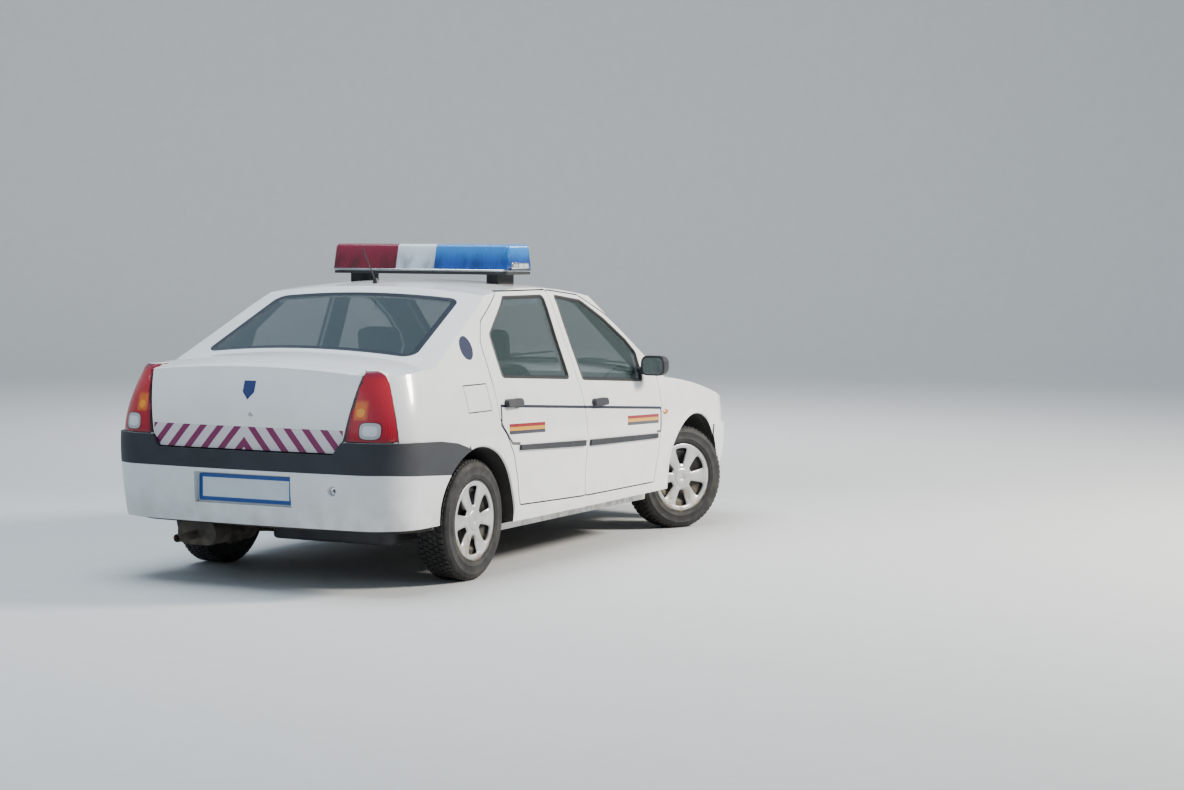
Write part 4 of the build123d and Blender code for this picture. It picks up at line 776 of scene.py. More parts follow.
class Outline:
    """Closed convex outlines in two coordinates."""

    @staticmethod
    def inset(points: Sequence[Pair], distance: float) -> list[Pair]:
        """Moves every edge of a convex outline inwards by a distance."""
        area = sum(a[0] * b[1] - b[0] * a[1] for a, b in zip(points, [*points[1:], points[0]]))
        sign = 1.0 if area > 0 else -1.0
        made = []
        count = len(points)
        for k in range(count):
            before, here, after = (Vector(points[i % count]) for i in (k - 1, k, k + 1))
            first, second = (here - before).normalized(), (after - here).normalized()
            normal_a = Vector((-first.y, first.x)) * sign
            normal_b = Vector((-second.y, second.x)) * sign
            halfway = (normal_a + normal_b).normalized()
            made.append(tuple(here + halfway * distance / max(0.25, halfway.dot(normal_a))))
        return made

    @staticmethod
    def rounded(points: Sequence[Pair], radius: float, corner: int = 6, along: int = 8) -> list[Pair]:
        """Outline with rounded corners and extra points along its runs.

        Args:
            points: Corners.
            radius: Radius at each corner.
            corner: Steps at each corner.
            along: Steps along each run.

        Returns:
            The points in order.
        """
        made: list[Pair] = []
        count = len(points)
        ends = []
        for k in range(count):
            before, here, after = (Vector(points[i % count]) for i in (k - 1, k, k + 1))
            back, ahead = before - here, after - here
            half = back.angle(ahead) / 2
            cut = min(radius / math.tan(half), back.length * 0.45, ahead.length * 0.45)
            start, end = here + back.normalized() * cut, here + ahead.normalized() * cut
            ends.append([start * (1 - t) ** 2 + here * 2 * t * (1 - t) + end * t * t
                         for t in (step / corner for step in range(corner + 1))])
        for arc, following in zip(ends, [*ends[1:], ends[0]]):
            made.extend(tuple(p) for p in arc)
            made.extend(tuple(arc[-1].lerp(following[0], step / along)) for step in range(1, along))
        return made

    @staticmethod
    def block(half: Pair) -> list[Pair]:
        """Corners of a rectangle about the middle."""
        w, h = half
        return [(-w, -h), (w, -h), (w, h), (-w, h)]


class Trees:
    """Geometry node trees for what repeats."""

    @staticmethod
    def bake(name: str, tree: bpy.types.NodeTree, inputs: dict[str, object]) -> bpy.types.Mesh:
        """Runs a tree with named inputs and returns its plain mesh."""
        holder = bpy.data.objects.new(name, bpy.data.meshes.new(f"{name}_seed"))
        bpy.context.scene.collection.objects.link(holder)
        modifier = holder.modifiers.new("Repeat", "NODES")
        modifier.node_group = tree
        for item in tree.interface.items_tree:
            if item.item_type == "SOCKET" and item.in_out == "INPUT" and item.name in inputs:
                modifier[item.identifier] = inputs[item.name]
        graph = bpy.context.evaluated_depsgraph_get()
        mesh = bpy.data.meshes.new_from_object(holder.evaluated_get(graph), depsgraph=graph)
        holder.modifiers.remove(modifier)
        bpy.data.objects.remove(holder)
        mesh.name = name
        return mesh

    @staticmethod
    def start(name: str, sockets: Sequence[tuple[str, str]]) -> bpy.types.NodeTree:
        """Makes a tree with named inputs and one geometry output."""
        tree = bpy.data.node_groups.new(name, "GeometryNodeTree")
        tree.interface.new_socket("Geometry", in_out="OUTPUT", socket_type="NodeSocketGeometry")
        for socket, kind in sockets:
            tree.interface.new_socket(socket, in_out="INPUT", socket_type=kind)
        return tree

    @staticmethod
    def end(tree: bpy.types.NodeTree, given: bpy.types.Node, geometry: Socket) -> None:
        """Realizes the instances, gives them the named material and puts them out."""
        real = tree.nodes.new("GeometryNodeRealizeInstances")
        tree.links.new(geometry, real.inputs[0])
        paint = tree.nodes.new("GeometryNodeSetMaterial")
        tree.links.new(real.outputs[0], paint.inputs["Geometry"])
        tree.links.new(given.outputs["Material"], paint.inputs["Material"])
        tree.links.new(paint.outputs[0], tree.nodes.new("NodeGroupOutput").inputs[0])

    @staticmethod
    def tread() -> bpy.types.NodeTree:
        """Five rings of tread blocks about local Z, each turned by half a pitch from the last."""
        tree = Trees.start("TreadBlocks", [("Radius", "NodeSocketFloat"), ("Count", "NodeSocketInt"),
                                           ("Block", "NodeSocketVector"), ("Spacing", "NodeSocketFloat"),
                                           ("Material", "NodeSocketMaterial")])
        new, link = tree.nodes.new, tree.links.new
        given = new("NodeGroupInput")
        join = new("GeometryNodeJoinGeometry")
        for row in (-2, -1, 0, 1, 2):
            circle = new("GeometryNodeMeshCircle")
            link(given.outputs["Count"], circle.inputs["Vertices"])
            link(given.outputs["Radius"], circle.inputs["Radius"])
            block = new("GeometryNodeMeshCube")
            link(given.outputs["Block"], block.inputs["Size"])
            lean = new("GeometryNodeTransform")
            link(block.outputs[0], lean.inputs["Geometry"])
            lean.inputs["Rotation"].default_value = (0.32 * (row if abs(row) < 2 else 0), 0.0, 0.0)
            face = new("FunctionNodeAlignRotationToVector")
            face.axis = "X"
            link(new("GeometryNodeInputPosition").outputs[0], face.inputs["Vector"])
            place = new("GeometryNodeInstanceOnPoints")
            link(circle.outputs[0], place.inputs["Points"])
            link(lean.outputs[0], place.inputs["Instance"])
            link(face.outputs[0], place.inputs["Rotation"])
            shift = new("ShaderNodeMath")
            shift.operation = "MULTIPLY"
            link(given.outputs["Spacing"], shift.inputs[0])
            shift.inputs[1].default_value = float(row)
            offset = new("ShaderNodeCombineXYZ")
            link(shift.outputs[0], offset.inputs[2])
            move = new("GeometryNodeTransform")
            link(place.outputs[0], move.inputs["Geometry"])
            link(offset.outputs[0], move.inputs["Translation"])
            move.inputs["Rotation"].default_value = (0.0, 0.0, 0.05 * row)
            link(move.outputs[0], join.inputs[0])
        Trees.end(tree, given, join.outputs[0])
        return tree

    @staticmethod
    def row() -> bpy.types.NodeTree:
        """Blocks set out along a straight line."""
        tree = Trees.start("RowOfBlocks", [("Count", "NodeSocketInt"), ("Start", "NodeSocketVector"),
                                           ("Step", "NodeSocketVector"), ("Block", "NodeSocketVector"),
                                           ("Material", "NodeSocketMaterial")])
        new, link = tree.nodes.new, tree.links.new
        given = new("NodeGroupInput")
        line = new("GeometryNodeMeshLine")
        line.mode = "OFFSET"
        link(given.outputs["Count"], line.inputs["Count"])
        link(given.outputs["Start"], line.inputs["Start Location"])
        link(given.outputs["Step"], line.inputs["Offset"])
        block = new("GeometryNodeMeshCube")
        link(given.outputs["Block"], block.inputs["Size"])
        place = new("GeometryNodeInstanceOnPoints")
        link(line.outputs[0], place.inputs["Points"])
        link(block.outputs[0], place.inputs["Instance"])
        Trees.end(tree, given, place.outputs[0])
        return tree


@dataclass
class Car:
    """What every sub-assembly shares: the fixed nodes and the trees."""

    nodes: dict[str, bpy.types.Object]
    tread: bpy.types.NodeTree = field(default_factory=Trees.tread)
    row: bpy.types.NodeTree = field(default_factory=Trees.row)

    def dress(self, node: str, *finishes: Finish) -> bpy.types.Object:
        """Gives a node its materials, one slot for each finish."""
        made = self.nodes[node]
        made.data.materials.clear()
        for finish in finishes:
            made.data.materials.append(finish.material())
        return made

    def zone(self, node: str, rule: Callable[[Vector, Vector], Zone]) -> None:
        """Sorts a panel's faces into zones by their centre and direction."""
        mesh = self.nodes[node].data
        for face in mesh.polygons:
            face.material_index = rule(face.center, face.normal).value

    def blocks(self, name: str, finish: Finish, count: int, start: Triple, step: Triple,
               block: Triple) -> None:
        """Row of like blocks as one piece on the body.

        Args:
            name: Name of the piece.
            finish: Its finish.
            count: Number of blocks.
            start: Middle of the first block.
            step: From each block to the next.
            block: Size of a block.
        """
        mesh = Trees.bake(name, self.row, {"Count": count, "Start": start, "Step": step, "Block": block,
                                           "Material": finish.material()})
        Mould.piece(name, mesh, None, "body")

    def caster(self, *names: str) -> BVHTree:
        """Search tree over some nodes' faces."""
        verts: list[Vector] = []
        faces: list[list[int]] = []
        for name in names:
            mesh = self.nodes[name].data
            base = len(verts)
            verts.extend(v.co.copy() for v in mesh.vertices)
            faces.extend([base + i for i in p.vertices] for p in mesh.polygons)
        return BVHTree.FromPolygons(verts, faces)


@dataclass
class Bodywork:
    """Pressed panels, bumpers and plates."""

    car: Car
    arch_reach: float = 0.395
    wing_reach: float = 0.385
    cabin_middle: Vector = field(default_factory=lambda: Vector((0.0, 0.0, 0.85)))
    boot_middle: Vector = field(default_factory=lambda: Vector((-1.5, 0.0, 0.62)))
    cabin: Pair = (-1.02, 1.0)
    floor_top: float = 0.225
    shelf_end: float = -1.6
    belt: float = 0.98
    boot: tuple[Pair, Pair] = ((-2.03, -1.0), (0.32, 1.0))
    boot_half: float = 0.70
    turned_to: float = 0.02
    nose: float = 1.72
    nose_top: float = 0.598
    downward: float = -0.6
    sill: float = 0.34
    arch_depth: Pair = (0.40, 0.62)
    tail: Pair = (-1.56, 0.33)
    bumper_back: Pair = (-2.02, 0.735)
    bumper_side: Pair = (0.77, 0.680)
    low_intake: tuple[float, Pair] = (0.335, (0.296, 0.346))
    high_intake: tuple[float, Pair] = (0.330, (0.495, 0.565))

    def behind_bumper(self, centre: Vector) -> bool:
        """Whether a point is on the part of the shell that the rear bumper covers."""
        back, back_top = self.bumper_back
        flank, flank_top = self.bumper_side
        return (centre.x < back and centre.z < back_top) or (abs(centre.y) > flank and centre.z < flank_top)

    @staticmethod
    def spoke(centre: Vector, axle: float) -> Vector:
        """From an axle to a point, seen from the side."""
        return Vector((centre.x - axle, 0.0, centre.z - WHEEL_Z))

    def lined(self, centre: Vector, normal: Vector) -> bool:
        """Whether a face of the shell looks into the cabin or the boot."""
        to_cabin = normal.dot(self.cabin_middle - centre) > self.turned_to
        in_cabin = self.cabin[0] < centre.x < self.cabin[1] and centre.z > self.floor_top
        over_belt = self.shelf_end < centre.x < self.cabin[1] and centre.z > self.belt
        if to_cabin and (in_cabin or over_belt):
            return True
        along, up = self.boot
        in_boot = along[0] < centre.x < along[1] and up[0] < centre.z < up[1]
        to_boot = normal.dot(self.boot_middle - centre) > self.turned_to
        return in_boot and abs(centre.y) < self.boot_half and to_boot

    def shell_zone(self, centre: Vector, normal: Vector) -> Zone:
        """Zone of one face of the shell."""
        underside = normal.z < self.downward and centre.z < self.sill
        if underside or (centre.x > self.nose and centre.z < self.nose_top):
            return Zone.UNDER
        near, far = self.arch_depth
        for axle in (FRONT_AXLE, REAR_ARCH):
            spoke = self.spoke(centre, axle)
            inward = -spoke.normalized().dot(normal) > 0.5 or (abs(normal.y) > 0.9 and abs(centre.y) < far)
            if spoke.length < self.arch_reach and abs(centre.y) > near and inward:
                return Zone.UNDER
        start, floor = self.tail
        if centre.x < start and (centre.z < floor or self.behind_bumper(centre)):
            return Zone.UNDER
        return Zone.TRIM if self.lined(centre, normal) else Zone.PAINT

    def wing_zone(self, centre: Vector, normal: Vector) -> Zone:
        """Zone of one face of a front wing."""
        facing_in = normal.y * centre.y < 0 and abs(normal.y) > 0.5
        spoke = self.spoke(centre, FRONT_AXLE)
        arch = spoke.length < self.wing_reach and -spoke.normalized().dot(normal) > 0.7
        return Zone.UNDER if facing_in or arch else Zone.PAINT

    def bumper_zone(self, centre: Vector, normal: Vector) -> Zone:
        """Zone of one face of the front bumper: dark in its air openings and behind it."""
        in_opening = any(abs(centre.y) < half and low < centre.z < high
                         for half, (low, high) in (self.low_intake, self.high_intake))
        if in_opening and abs(normal.x) < 0.6:
            return Zone.TRIM
        return Zone.UNDER if normal.x < -0.5 else Zone.PAINT

    @staticmethod
    def door_zone(centre: Vector, normal: Vector) -> Zone:
        """Zone of one face of a door: lining inside, paint outside."""
        return Zone.TRIM if normal.y * centre.y < 0 and abs(normal.y) > 0.6 else Zone.PAINT

    def build(self) -> None:
        """Dresses every panel."""
        zoned = ((FINISHES.paint, FINISHES.carpet, self.shell_zone, "body_shell"),
                 (FINISHES.paint, FINISHES.carpet, self.wing_zone, "front_wings"),
                 (FINISHES.bumper, FINISHES.trim, self.bumper_zone, "front_bumper"))
        for outer, inner, rule, node in zoned:
            self.car.dress(node, outer, inner, FINISHES.under)
            self.car.zone(node, rule)
        for door in (f"{place}_{side.word}" for side in Side for place in ("front", "rear")):
            self.car.dress(f"door_{door}", FINISHES.paint, FINISHES.cabin)
            self.car.zone(f"door_{door}", self.door_zone)
            self.car.dress(f"door_glass_{door}", FINISHES.glass)
            self.car.dress(f"door_trim_{door}", FINISHES.rub)
        for finish, nodes in ((FINISHES.paint, ("bonnet", "boot_lid", "fuel_flap")),
                              (FINISHES.bumper, ("rear_bumper",)),
                              (FINISHES.band, ("rear_bumper_band", "grille")),
                              (FINISHES.trim, ("cowl_panel", "lightbar_base", "antenna")),
                              (FINISHES.plate, ("number_plates",)), (FINISHES.glass, ("windscreen",)),
                              (FINISHES.rear_glass, ("rear_window",)), (FINISHES.lamp_body, ("tail_lamps",)),
                              (FINISHES.head, ("head_lamps",)), (FINISHES.red_dome, ("lightbar_red",)),
                              (FINISHES.white_dome, ("lightbar_clear",)),
                              (FINISHES.blue_dome, ("lightbar_blue",)),
                              (FINISHES.steel, ("front_subframe", "rear_axle")),
                              (FINISHES.alloy, ("engine_block",)), (FINISHES.pipe, ("exhaust",)),
                              (FINISHES.cabin, ("fuel_tank", "dashboard", "steering_wheel")),
                              (FINISHES.cast, ("knuckle_front_left", "knuckle_front_right"))):
            for node in nodes:
                self.car.dress(node, finish)
        LOG.info("body panels dressed")


@dataclass
class ArchLips:
    """Rolled lip of the panels round each wheel arch."""

    car: Car
    front_radius: float = 0.378
    rear_radius: float = 0.374
    front_span: Pair = (52.0, 183.0)
    rear_span: Pair = (-4.0, 104.0)
    section: tuple[Pair, ...] = ((0.0015, -0.003), (0.0015, 0.004), (0.006, 0.0085), (0.016, 0.0080),
                                 (0.028, 0.0035), (0.040, -0.0012), (0.030, -0.004))
    steps: int = 64
    skin: float = 0.80
    flank: float = 0.86
    landing: float = 0.008
    fading: float = 9.0

    def lip(self, name: str, axle: float, radius: float, span: Pair, side: Side, tree: BVHTree) -> None:
        """Sweeps the lip's section round one arch, seated on the skin."""
        sections = []
        last = side.value * self.flank
        for index in range(self.steps + 1):
            share = index / self.steps
            angle = math.radians(span[0] + (span[1] - span[0]) * share)
            fade = min(1.0, share * self.fading, (1.0 - share) * self.fading)
            points = []
            for out, proud in self.section:
                reach = radius + max(out, self.landing)
                hit = seen_beside(tree, side, axle + reach * math.cos(angle),
                                  WHEEL_Z + reach * math.sin(angle))
                if hit and abs(hit.y) > self.skin:
                    last = hit.y
                lift = proud * fade if proud > 0 else proud
                points.append(Vector((axle + (radius + out) * math.cos(angle), last + side.value * lift,
                                      WHEEL_Z + (radius + out) * math.sin(angle))))
            sections.append(points)
        Mould.piece(name, Mould.sweep(name, sections), FINISHES.paint, "body", smooth=60.0)

    def build(self) -> None:
        """Makes the four lips."""
        front = self.car.caster("front_wings", "body_shell")
        rear = self.car.caster("body_shell", "rear_bumper_band")
        for side in Side:
            self.lip(f"arch_lip_front_{side.word}", FRONT_AXLE, self.front_radius, self.front_span, side,
                     front)
            self.lip(f"arch_lip_rear_{side.word}", REAR_ARCH, self.rear_radius, self.rear_span, side, rear)


@dataclass
class TailLenses:
    """Swollen lens of each tail lamp, with a dark rim and a rounded cap over the rear deck."""

    car: Car
    foot: float = 0.7448
    head: float = 1.0880
    shoulder: float = 1.0420
    inner: tuple[Pair, ...] = ((0.7448, 0.5440), (1.0420, 0.5875), (1.0700, 0.5915), (1.0800, 0.5960),
                               (1.0850, 0.6040), (1.0880, 0.6180))
    outer: tuple[Pair, ...] = ((0.7448, 0.8070), (0.7893, 0.8020), (0.8602, 0.7880), (0.9307, 0.7675),
                               (0.9951, 0.7440), (1.0350, 0.7270), (1.0600, 0.7130), (1.0750, 0.6960),
                               (1.0840, 0.6760), (1.0880, 0.6560))
    swell: float = 0.0035
    lift: float = 0.0008
    edge_depth: float = 0.006
    cap_depth: float = 0.050
    cap_start: float = 0.012
    cap_drop: float = 0.10
    lean: Pair = (0.30, 6.0)
    shares: tuple[float, ...] = (
        0.0, 0.018, 0.045, 0.10, 0.18, 0.28, 0.40, 0.52, 0.64, 0.76, 0.86, 0.93, 0.968, 0.986, 1.0)
    levels: tuple[float, ...] = (
        0.0, 0.012, 0.03, 0.08, 0.15, 0.23, 0.32, 0.41, 0.50, 0.59, 0.68, 0.76, 0.83, 0.88, 0.92, 0.95, 0.975,
        0.99, 1.0)

    def points(self, side: Side, tree: BVHTree, u: float, v: float) -> tuple[Vector, Vector]:
        """Outer and inner point of the lens.

        Args:
            side: Side of the car.
            tree: Skin under the lens.
            u: Share of the way from the inner edge to the outer.
            v: Share of the way from the foot to the head.

        Returns:
            The point on the lens and the one behind it.
        """
        z = self.foot + (self.head - self.foot) * v
        inner, outer = station(self.inner, z), station(self.outer, z)
        y = side.value * (inner + (outer - inner) * u)
        top = max(0.0, z - self.shoulder)
        slope, curve = self.lean
        x = seen_behind(tree, y, z - top).x + slope * top + curve * top * top
        level = seen_behind(tree, y, z)
        if level is not None:
            x = min(x, level.x)
        proud = self.swell * (1 - abs(2 * u - 1) ** 6) * (1 - abs(2 * v - 1) ** 12) + self.lift
        deep = min(1.0, top / self.cap_start) * self.cap_depth
        behind = Vector((x + self.edge_depth + deep, y, z - self.cap_drop * deep))
        return Vector((x - proud, y, z)), behind

    def lens(self, side: Side, tree: BVHTree) -> None:
        """Makes one lens over the skin of its corner, its rim in the finish of the housing."""
        shape = bmesh.new()
        pairs = [[self.points(side, tree, u, v) for u in self.shares] for v in self.levels]
        near, far = ([[shape.verts.new(pair[k]) for pair in row] for row in pairs] for k in (0, 1))
        Mould.span(shape, far, closed=False)
        Mould.span(shape, [[row[0] for row in grid] for grid in (near, far)], closed=False)
        Mould.span(shape, [[row[-1] for row in grid] for grid in (near, far)], closed=False)
        Mould.span(shape, [near[0], far[0]], closed=False)
        Mould.span(shape, [near[-1], far[-1]], closed=False)
        for face in shape.faces:
            face.material_index = 1
        first = len(shape.faces)
        Mould.span(shape, near, closed=False)
        shape.faces.ensure_lookup_table()
        across = len(self.shares) - 1
        for index, face in enumerate(shape.faces[first:]):
            r, c = divmod(index, across)
            face.material_index = int(c in (0, across - 1) or r in (0, len(self.levels) - 2))
        name = f"tail_lens_{side.word}"
        mesh = Mould.from_bmesh(name, shape)
        mesh.materials.append(FINISHES.tail.material())
        mesh.materials.append(FINISHES.lamp_body.material())
        Mould.piece(name, mesh, None, "body", smooth=60.0, slot="lamp_red")

    def build(self) -> None:
        """Makes both lenses."""
        tree = self.car.caster("body_shell", "tail_lamps", "rear_bumper_band")
        for side in Side:
            self.lens(side, tree)


@dataclass
class SideWindows:
    """Rubber round the window of each door."""

    car: Car
    front: tuple[Pair, ...] = (
        (-0.092, 0.963), (-0.128, 1.409), (0.160, 1.376), (0.390, 1.268), (0.582, 1.150), (0.665, 1.075),
        (0.650, 0.918))
    rear: tuple[Pair, ...] = (
        (-0.962, 1.015), (-0.962, 1.225), (-0.700, 1.411), (-0.262, 1.411), (-0.250, 0.975))
    corner: float = 0.022
    on_skin: float = 0.009
    on_glass: float = 0.010
    drop: float = 0.011
    thick: float = 0.0035

    def build(self) -> None:
        """Makes one rubber for each door."""
        for side in Side:
            for place, outline in (("front", self.front), ("rear", self.rear)):
                self.rubber(f"{place}_{side.word}", side, outline)

    def rubber(self, door: str, side: Side, outline: Sequence[Pair]) -> None:
        """Makes the rubber of one door, from its skin over the edge onto its pane."""
        skin = self.car.caster(f"door_{door}")
        pane = self.car.caster(f"door_glass_{door}")
        rows, levels = [], []
        for grow, proud, target in ((self.on_skin, 0.0006, skin), (0.003, 0.0030, skin), (-0.002, 0.0, None),
                                    (-self.on_glass, 0.0008, pane)):
            row = Outline.rounded(Outline.inset(outline, -grow), self.corner + grow)
            hits = [seen_beside(target, side, x, z) if target else None for x, z in row]
            rows.append(row)
            levels.append([hit.y + side.value * proud if hit else None for hit in hits])
        for k in range(len(rows[0])):
            known = levels[1][k] or levels[0][k]
            levels[0][k] = levels[0][k] or known
            levels[1][k] = levels[2][k] = known
            levels[3][k] = levels[3][k] or (known - side.value * self.drop)
        points = [[Vector((x, y, z)) for (x, z), y in zip(row, level)] for row, level in zip(rows, levels)]
        name = f"window_seal_{door}"
        mesh = Mould.strip(name, points, Vector((0, -side.value * self.thick, 0)))
        Mould.piece(name, mesh, FINISHES.seal, f"door_{door}")


@dataclass
class Screen:
    """Black border just over the glass of a front or rear screen."""

    name: str
    foot: Pair
    head: Pair
    radius: float
    shape: tuple[Pair, ...]
    width: float = 0.034

    def point(self, across: float, up: float, inset: float) -> Vector:
        """Point on the curved screen from its flat place."""
        slope = Vector((self.head[0] - self.foot[0], 0, self.head[1] - self.foot[1])).normalized()
        side = Vector((0, 1, 0)) if slope.x < 0 else Vector((0, -1, 0))
        normal = side.cross(slope)
        sag = math.sqrt((self.radius - inset) ** 2 - across ** 2) - self.radius
        return Vector((self.foot[0], 0, self.foot[1])) + side * across + slope * up + normal * sag

    def build(self) -> None:
        """Makes the border."""
        rows = []
        for shrink, inset in ((0.0012, 0.0006), (0.006, 0.0002), (0.010, 0.0012), (self.width, 0.0014)):
            outline = Outline.rounded(Outline.inset(self.shape, shrink), 0.070 - shrink, 8, 10)
            rows.append([self.point(a, b, inset) for a, b in outline])
        normal = self.point(0, 0, 0) - self.point(0, 0, 0.001)
        mesh = Mould.strip(f"{self.name}_border", rows, normal.normalized() * -0.0005)
        Mould.piece(f"{self.name}_border", mesh, FINISHES.frit, "body")


@dataclass
class Wipers:
    """Two wiper arms with their blades on the windscreen."""

    screen: Screen
    roots: tuple[Pair, ...] = ((0.52, -0.035), (-0.08, -0.035))
    length: float = 0.52

    def build(self) -> None:
        """Makes arm and blade for each."""
        for index, (across, up) in enumerate(self.roots):
            arm = [self.screen.point(across - reach, up + rise, -over)
                   for reach, rise, over in ((0.0, 0.0, 0.014), (0.20, 0.065, 0.024), (0.36, 0.105, 0.016))]
            name = f"wiper_arm_{index}"
            Mould.piece(name, Mould.tube(name, arm, [0.009, 0.007, 0.005]), FINISHES.trim, "body")
            run = [self.screen.point(across - 0.10 - self.length * t / 8, up + 0.052 + 0.098 * t / 8, -0.006)
                   for t in range(9)]
            name = f"wiper_blade_{index}"
            mesh = Mould.tube(name, run, [0.004] + [0.006] * 7 + [0.004], 8)
            Mould.piece(name, mesh, FINISHES.seal, "body")


@dataclass
class Wheel:
    """Wheel cover, steel wheel and treaded tyre of one corner of the car."""

    car: Car
    place: str
    middle: Vector
    outward: Vector
    spokes: int = 6
    tyre_radius: float = 0.305
    tyre_half: tuple[Pair, ...] = (
        (0.1925, 0.0765), (0.203, 0.0790), (0.2085, 0.0815), (0.2095, 0.0880), (0.213, 0.0900),
        (0.228, 0.0918), (0.229, 0.0926), (0.234, 0.0928), (0.235, 0.0922), (0.252, 0.0930),
        (0.268, 0.0915), (0.2695, 0.0922), (0.274, 0.0912), (0.2755, 0.0898), (0.286, 0.0860),
        (0.293, 0.0800), (0.2972, 0.0720), (0.2982, 0.0500), (0.2990, 0.0250), (0.2992, 0.0))
    tread_blocks: int = 62
    tread_block: Triple = (0.0092, 0.0225, 0.0235)
    tread_spacing: float = 0.0292
    steel_profile: tuple[Pair, ...] = (
        (0.176, -0.088), (0.2065, -0.088), (0.2070, -0.0785), (0.1905, -0.0770), (0.1905, 0.0770),
        (0.2070, 0.0785), (0.2065, 0.0868), (0.1945, 0.0845), (0.1830, 0.0700), (0.1780, 0.0560),
        (0.1500, 0.0600), (0.1150, 0.0380), (0.0850, 0.0360), (0.0600, 0.0420), (0.0220, 0.0440),
        (0.0220, 0.0310), (0.0800, 0.0300), (0.1500, 0.0500), (0.1720, 0.0440))
    cover_face: tuple[Pair, ...] = (
        (0.0, 0.0800), (0.014, 0.0800), (0.020, 0.0835), (0.046, 0.0850), (0.052, 0.0815), (0.060, 0.0820),
        (0.085, 0.0795), (0.120, 0.0765), (0.150, 0.0770), (0.168, 0.0800), (0.180, 0.0845), (0.190, 0.0868),
        (0.197, 0.0858), (0.203, 0.0820))
    window_edge: tuple[Pair, ...] = (
        (0.0, 0.16), (0.078, 0.13), (0.084, 0.17), (0.110, 0.215), (0.150, 0.250), (0.166, 0.245),
        (0.176, 0.20), (0.21, 0.20))
    cover_radii: tuple[float, ...] = (
        0.0, 0.014, 0.020, 0.034, 0.046, 0.052, 0.060, 0.070, 0.078, 0.084, 0.097, 0.110, 0.124, 0.138, 0.150,
        0.160, 0.166, 0.172, 0.176, 0.180, 0.185, 0.190, 0.197, 0.203)
    cover_spans: tuple[float, ...] = (0.0, 0.34, 0.68, 1.0, 1.15, 1.4, 1.7, 2.0)
    window_span: Pair = (0.080, 0.174)
    crown: float = 0.0045
    sunk: float = 0.004

    def frame(self) -> Matrix:
        """Matrix from the wheel's own frame, with Z along the axle outward."""
        up = Vector((0, 0, 1))
        across = self.outward.cross(up)
        made = Matrix((up, across, self.outward)).transposed().to_4x4()
        made.translation = self.middle
        return made

    def tyre(self, name: str, body: str) -> None:
        """Carcass with side wall steps, joined with the tread blocks."""
        profile = [*self.tyre_half, *((r, -u) for r, u in reversed(self.tyre_half[:-1]))]
        place = self.frame()
        shape = bmesh.new()
        shape.from_mesh(Mould.revolve(f"{name}_wall", profile, 96, place))
        blocks = Trees.bake(f"{name}_tread", self.car.tread,
                            {"Radius": self.tyre_radius - 0.0048, "Count": self.tread_blocks,
                             "Block": self.tread_block, "Spacing": self.tread_spacing,
                             "Material": FINISHES.rubber.material()})
        blocks.transform(place)
        shape.from_mesh(blocks)
        mesh = Mould.as_is(name, shape)
        Mould.piece(name, mesh, FINISHES.rubber, body, replaces=[f"tyre_{self.place}"], slot="tyre")

    def steel(self, name: str, body: str) -> None:
        """Dark rim, barrel and disc behind the cover."""
        mesh = Mould.revolve(name, self.steel_profile, 72, self.frame())
        Mould.piece(name, mesh, FINISHES.steel, body, replaces=[f"wheel_{self.place}"], slot="wheel")

    def cover_point(self, sector: int, sign: int, span: float, radius: float) -> Vector:
        """Point of the cover's face in the wheel's own frame.

        Args:
            sector: Number of the window.
            sign: Side of its middle line.
            span: 0 at the middle line, 1 at the window's edge, 2 at the middle of the spoke.
            radius: Distance from the axle.

        Returns:
            The point.
        """
        pitch = math.pi / self.spokes
        edge = station(self.window_edge, radius)
        angle = edge * span if span <= 1.0 else edge + (pitch - edge) * (span - 1.0)
        turn = 2 * pitch * sector + sign * angle
        height = station(self.cover_face, radius)
        if 0.066 < radius < 0.176:
            height += self.crown * (math.sin(math.pi / 2 * max(0.0, span - 1.0)) - 0.4)
        if span <= 1.0 and 0.078 <= radius <= 0.172:
            height -= self.sunk
        return Vector((radius * math.cos(turn), radius * math.sin(turn), height))

    def cover(self, name: str, body: str) -> None:
        """Silver cover with wide crowned spokes, a round hub and open windows."""
        shape = bmesh.new()
        place = self.frame()
        columns: list[tuple[int, int, float]] = []
        for sector in range(self.spokes):
            columns.extend((sector, -1, span) for span in reversed(self.cover_spans[1:]))
            columns.extend((sector, 1, span) for span in self.cover_spans[:-1])
        grid = [[shape.verts.new(place @ self.cover_point(*column, radius)) for radius in self.cover_radii]
                for column in columns]
        for k, (column, (_, sign, span)) in enumerate(zip(grid, columns)):
            following = grid[(k + 1) % len(grid)]
            open_here = span < 1.0 or (span <= 1.0 and sign < 0)
            for r, (low, high) in enumerate(zip(self.cover_radii, self.cover_radii[1:])):
                if open_here and self.window_span[0] < (low + high) / 2 < self.window_span[1]:
                    continue
                corners = [column[r], following[r], following[r + 1], column[r + 1]]
                shape.faces.new(corners[1:] if r == 0 else corners)
        bmesh.ops.remove_doubles(shape, verts=shape.verts, dist=1e-6)
        bmesh.ops.recalc_face_normals(shape, faces=shape.faces)
        if sum(f.normal.dot(self.outward) * f.calc_area() for f in shape.faces) < 0:
            bmesh.ops.reverse_faces(shape, faces=shape.faces)
        made = Mould.piece(name, Mould.as_is(name, shape), FINISHES.cover, body, smooth=50.0, slot="wheel")
        Mould.wall(made, 0.0035, -1.0)
        soft = made.modifiers.new("Edge", "BEVEL")
        soft.width = 0.0012
        soft.segments = 2
        soft.limit_method = "ANGLE"

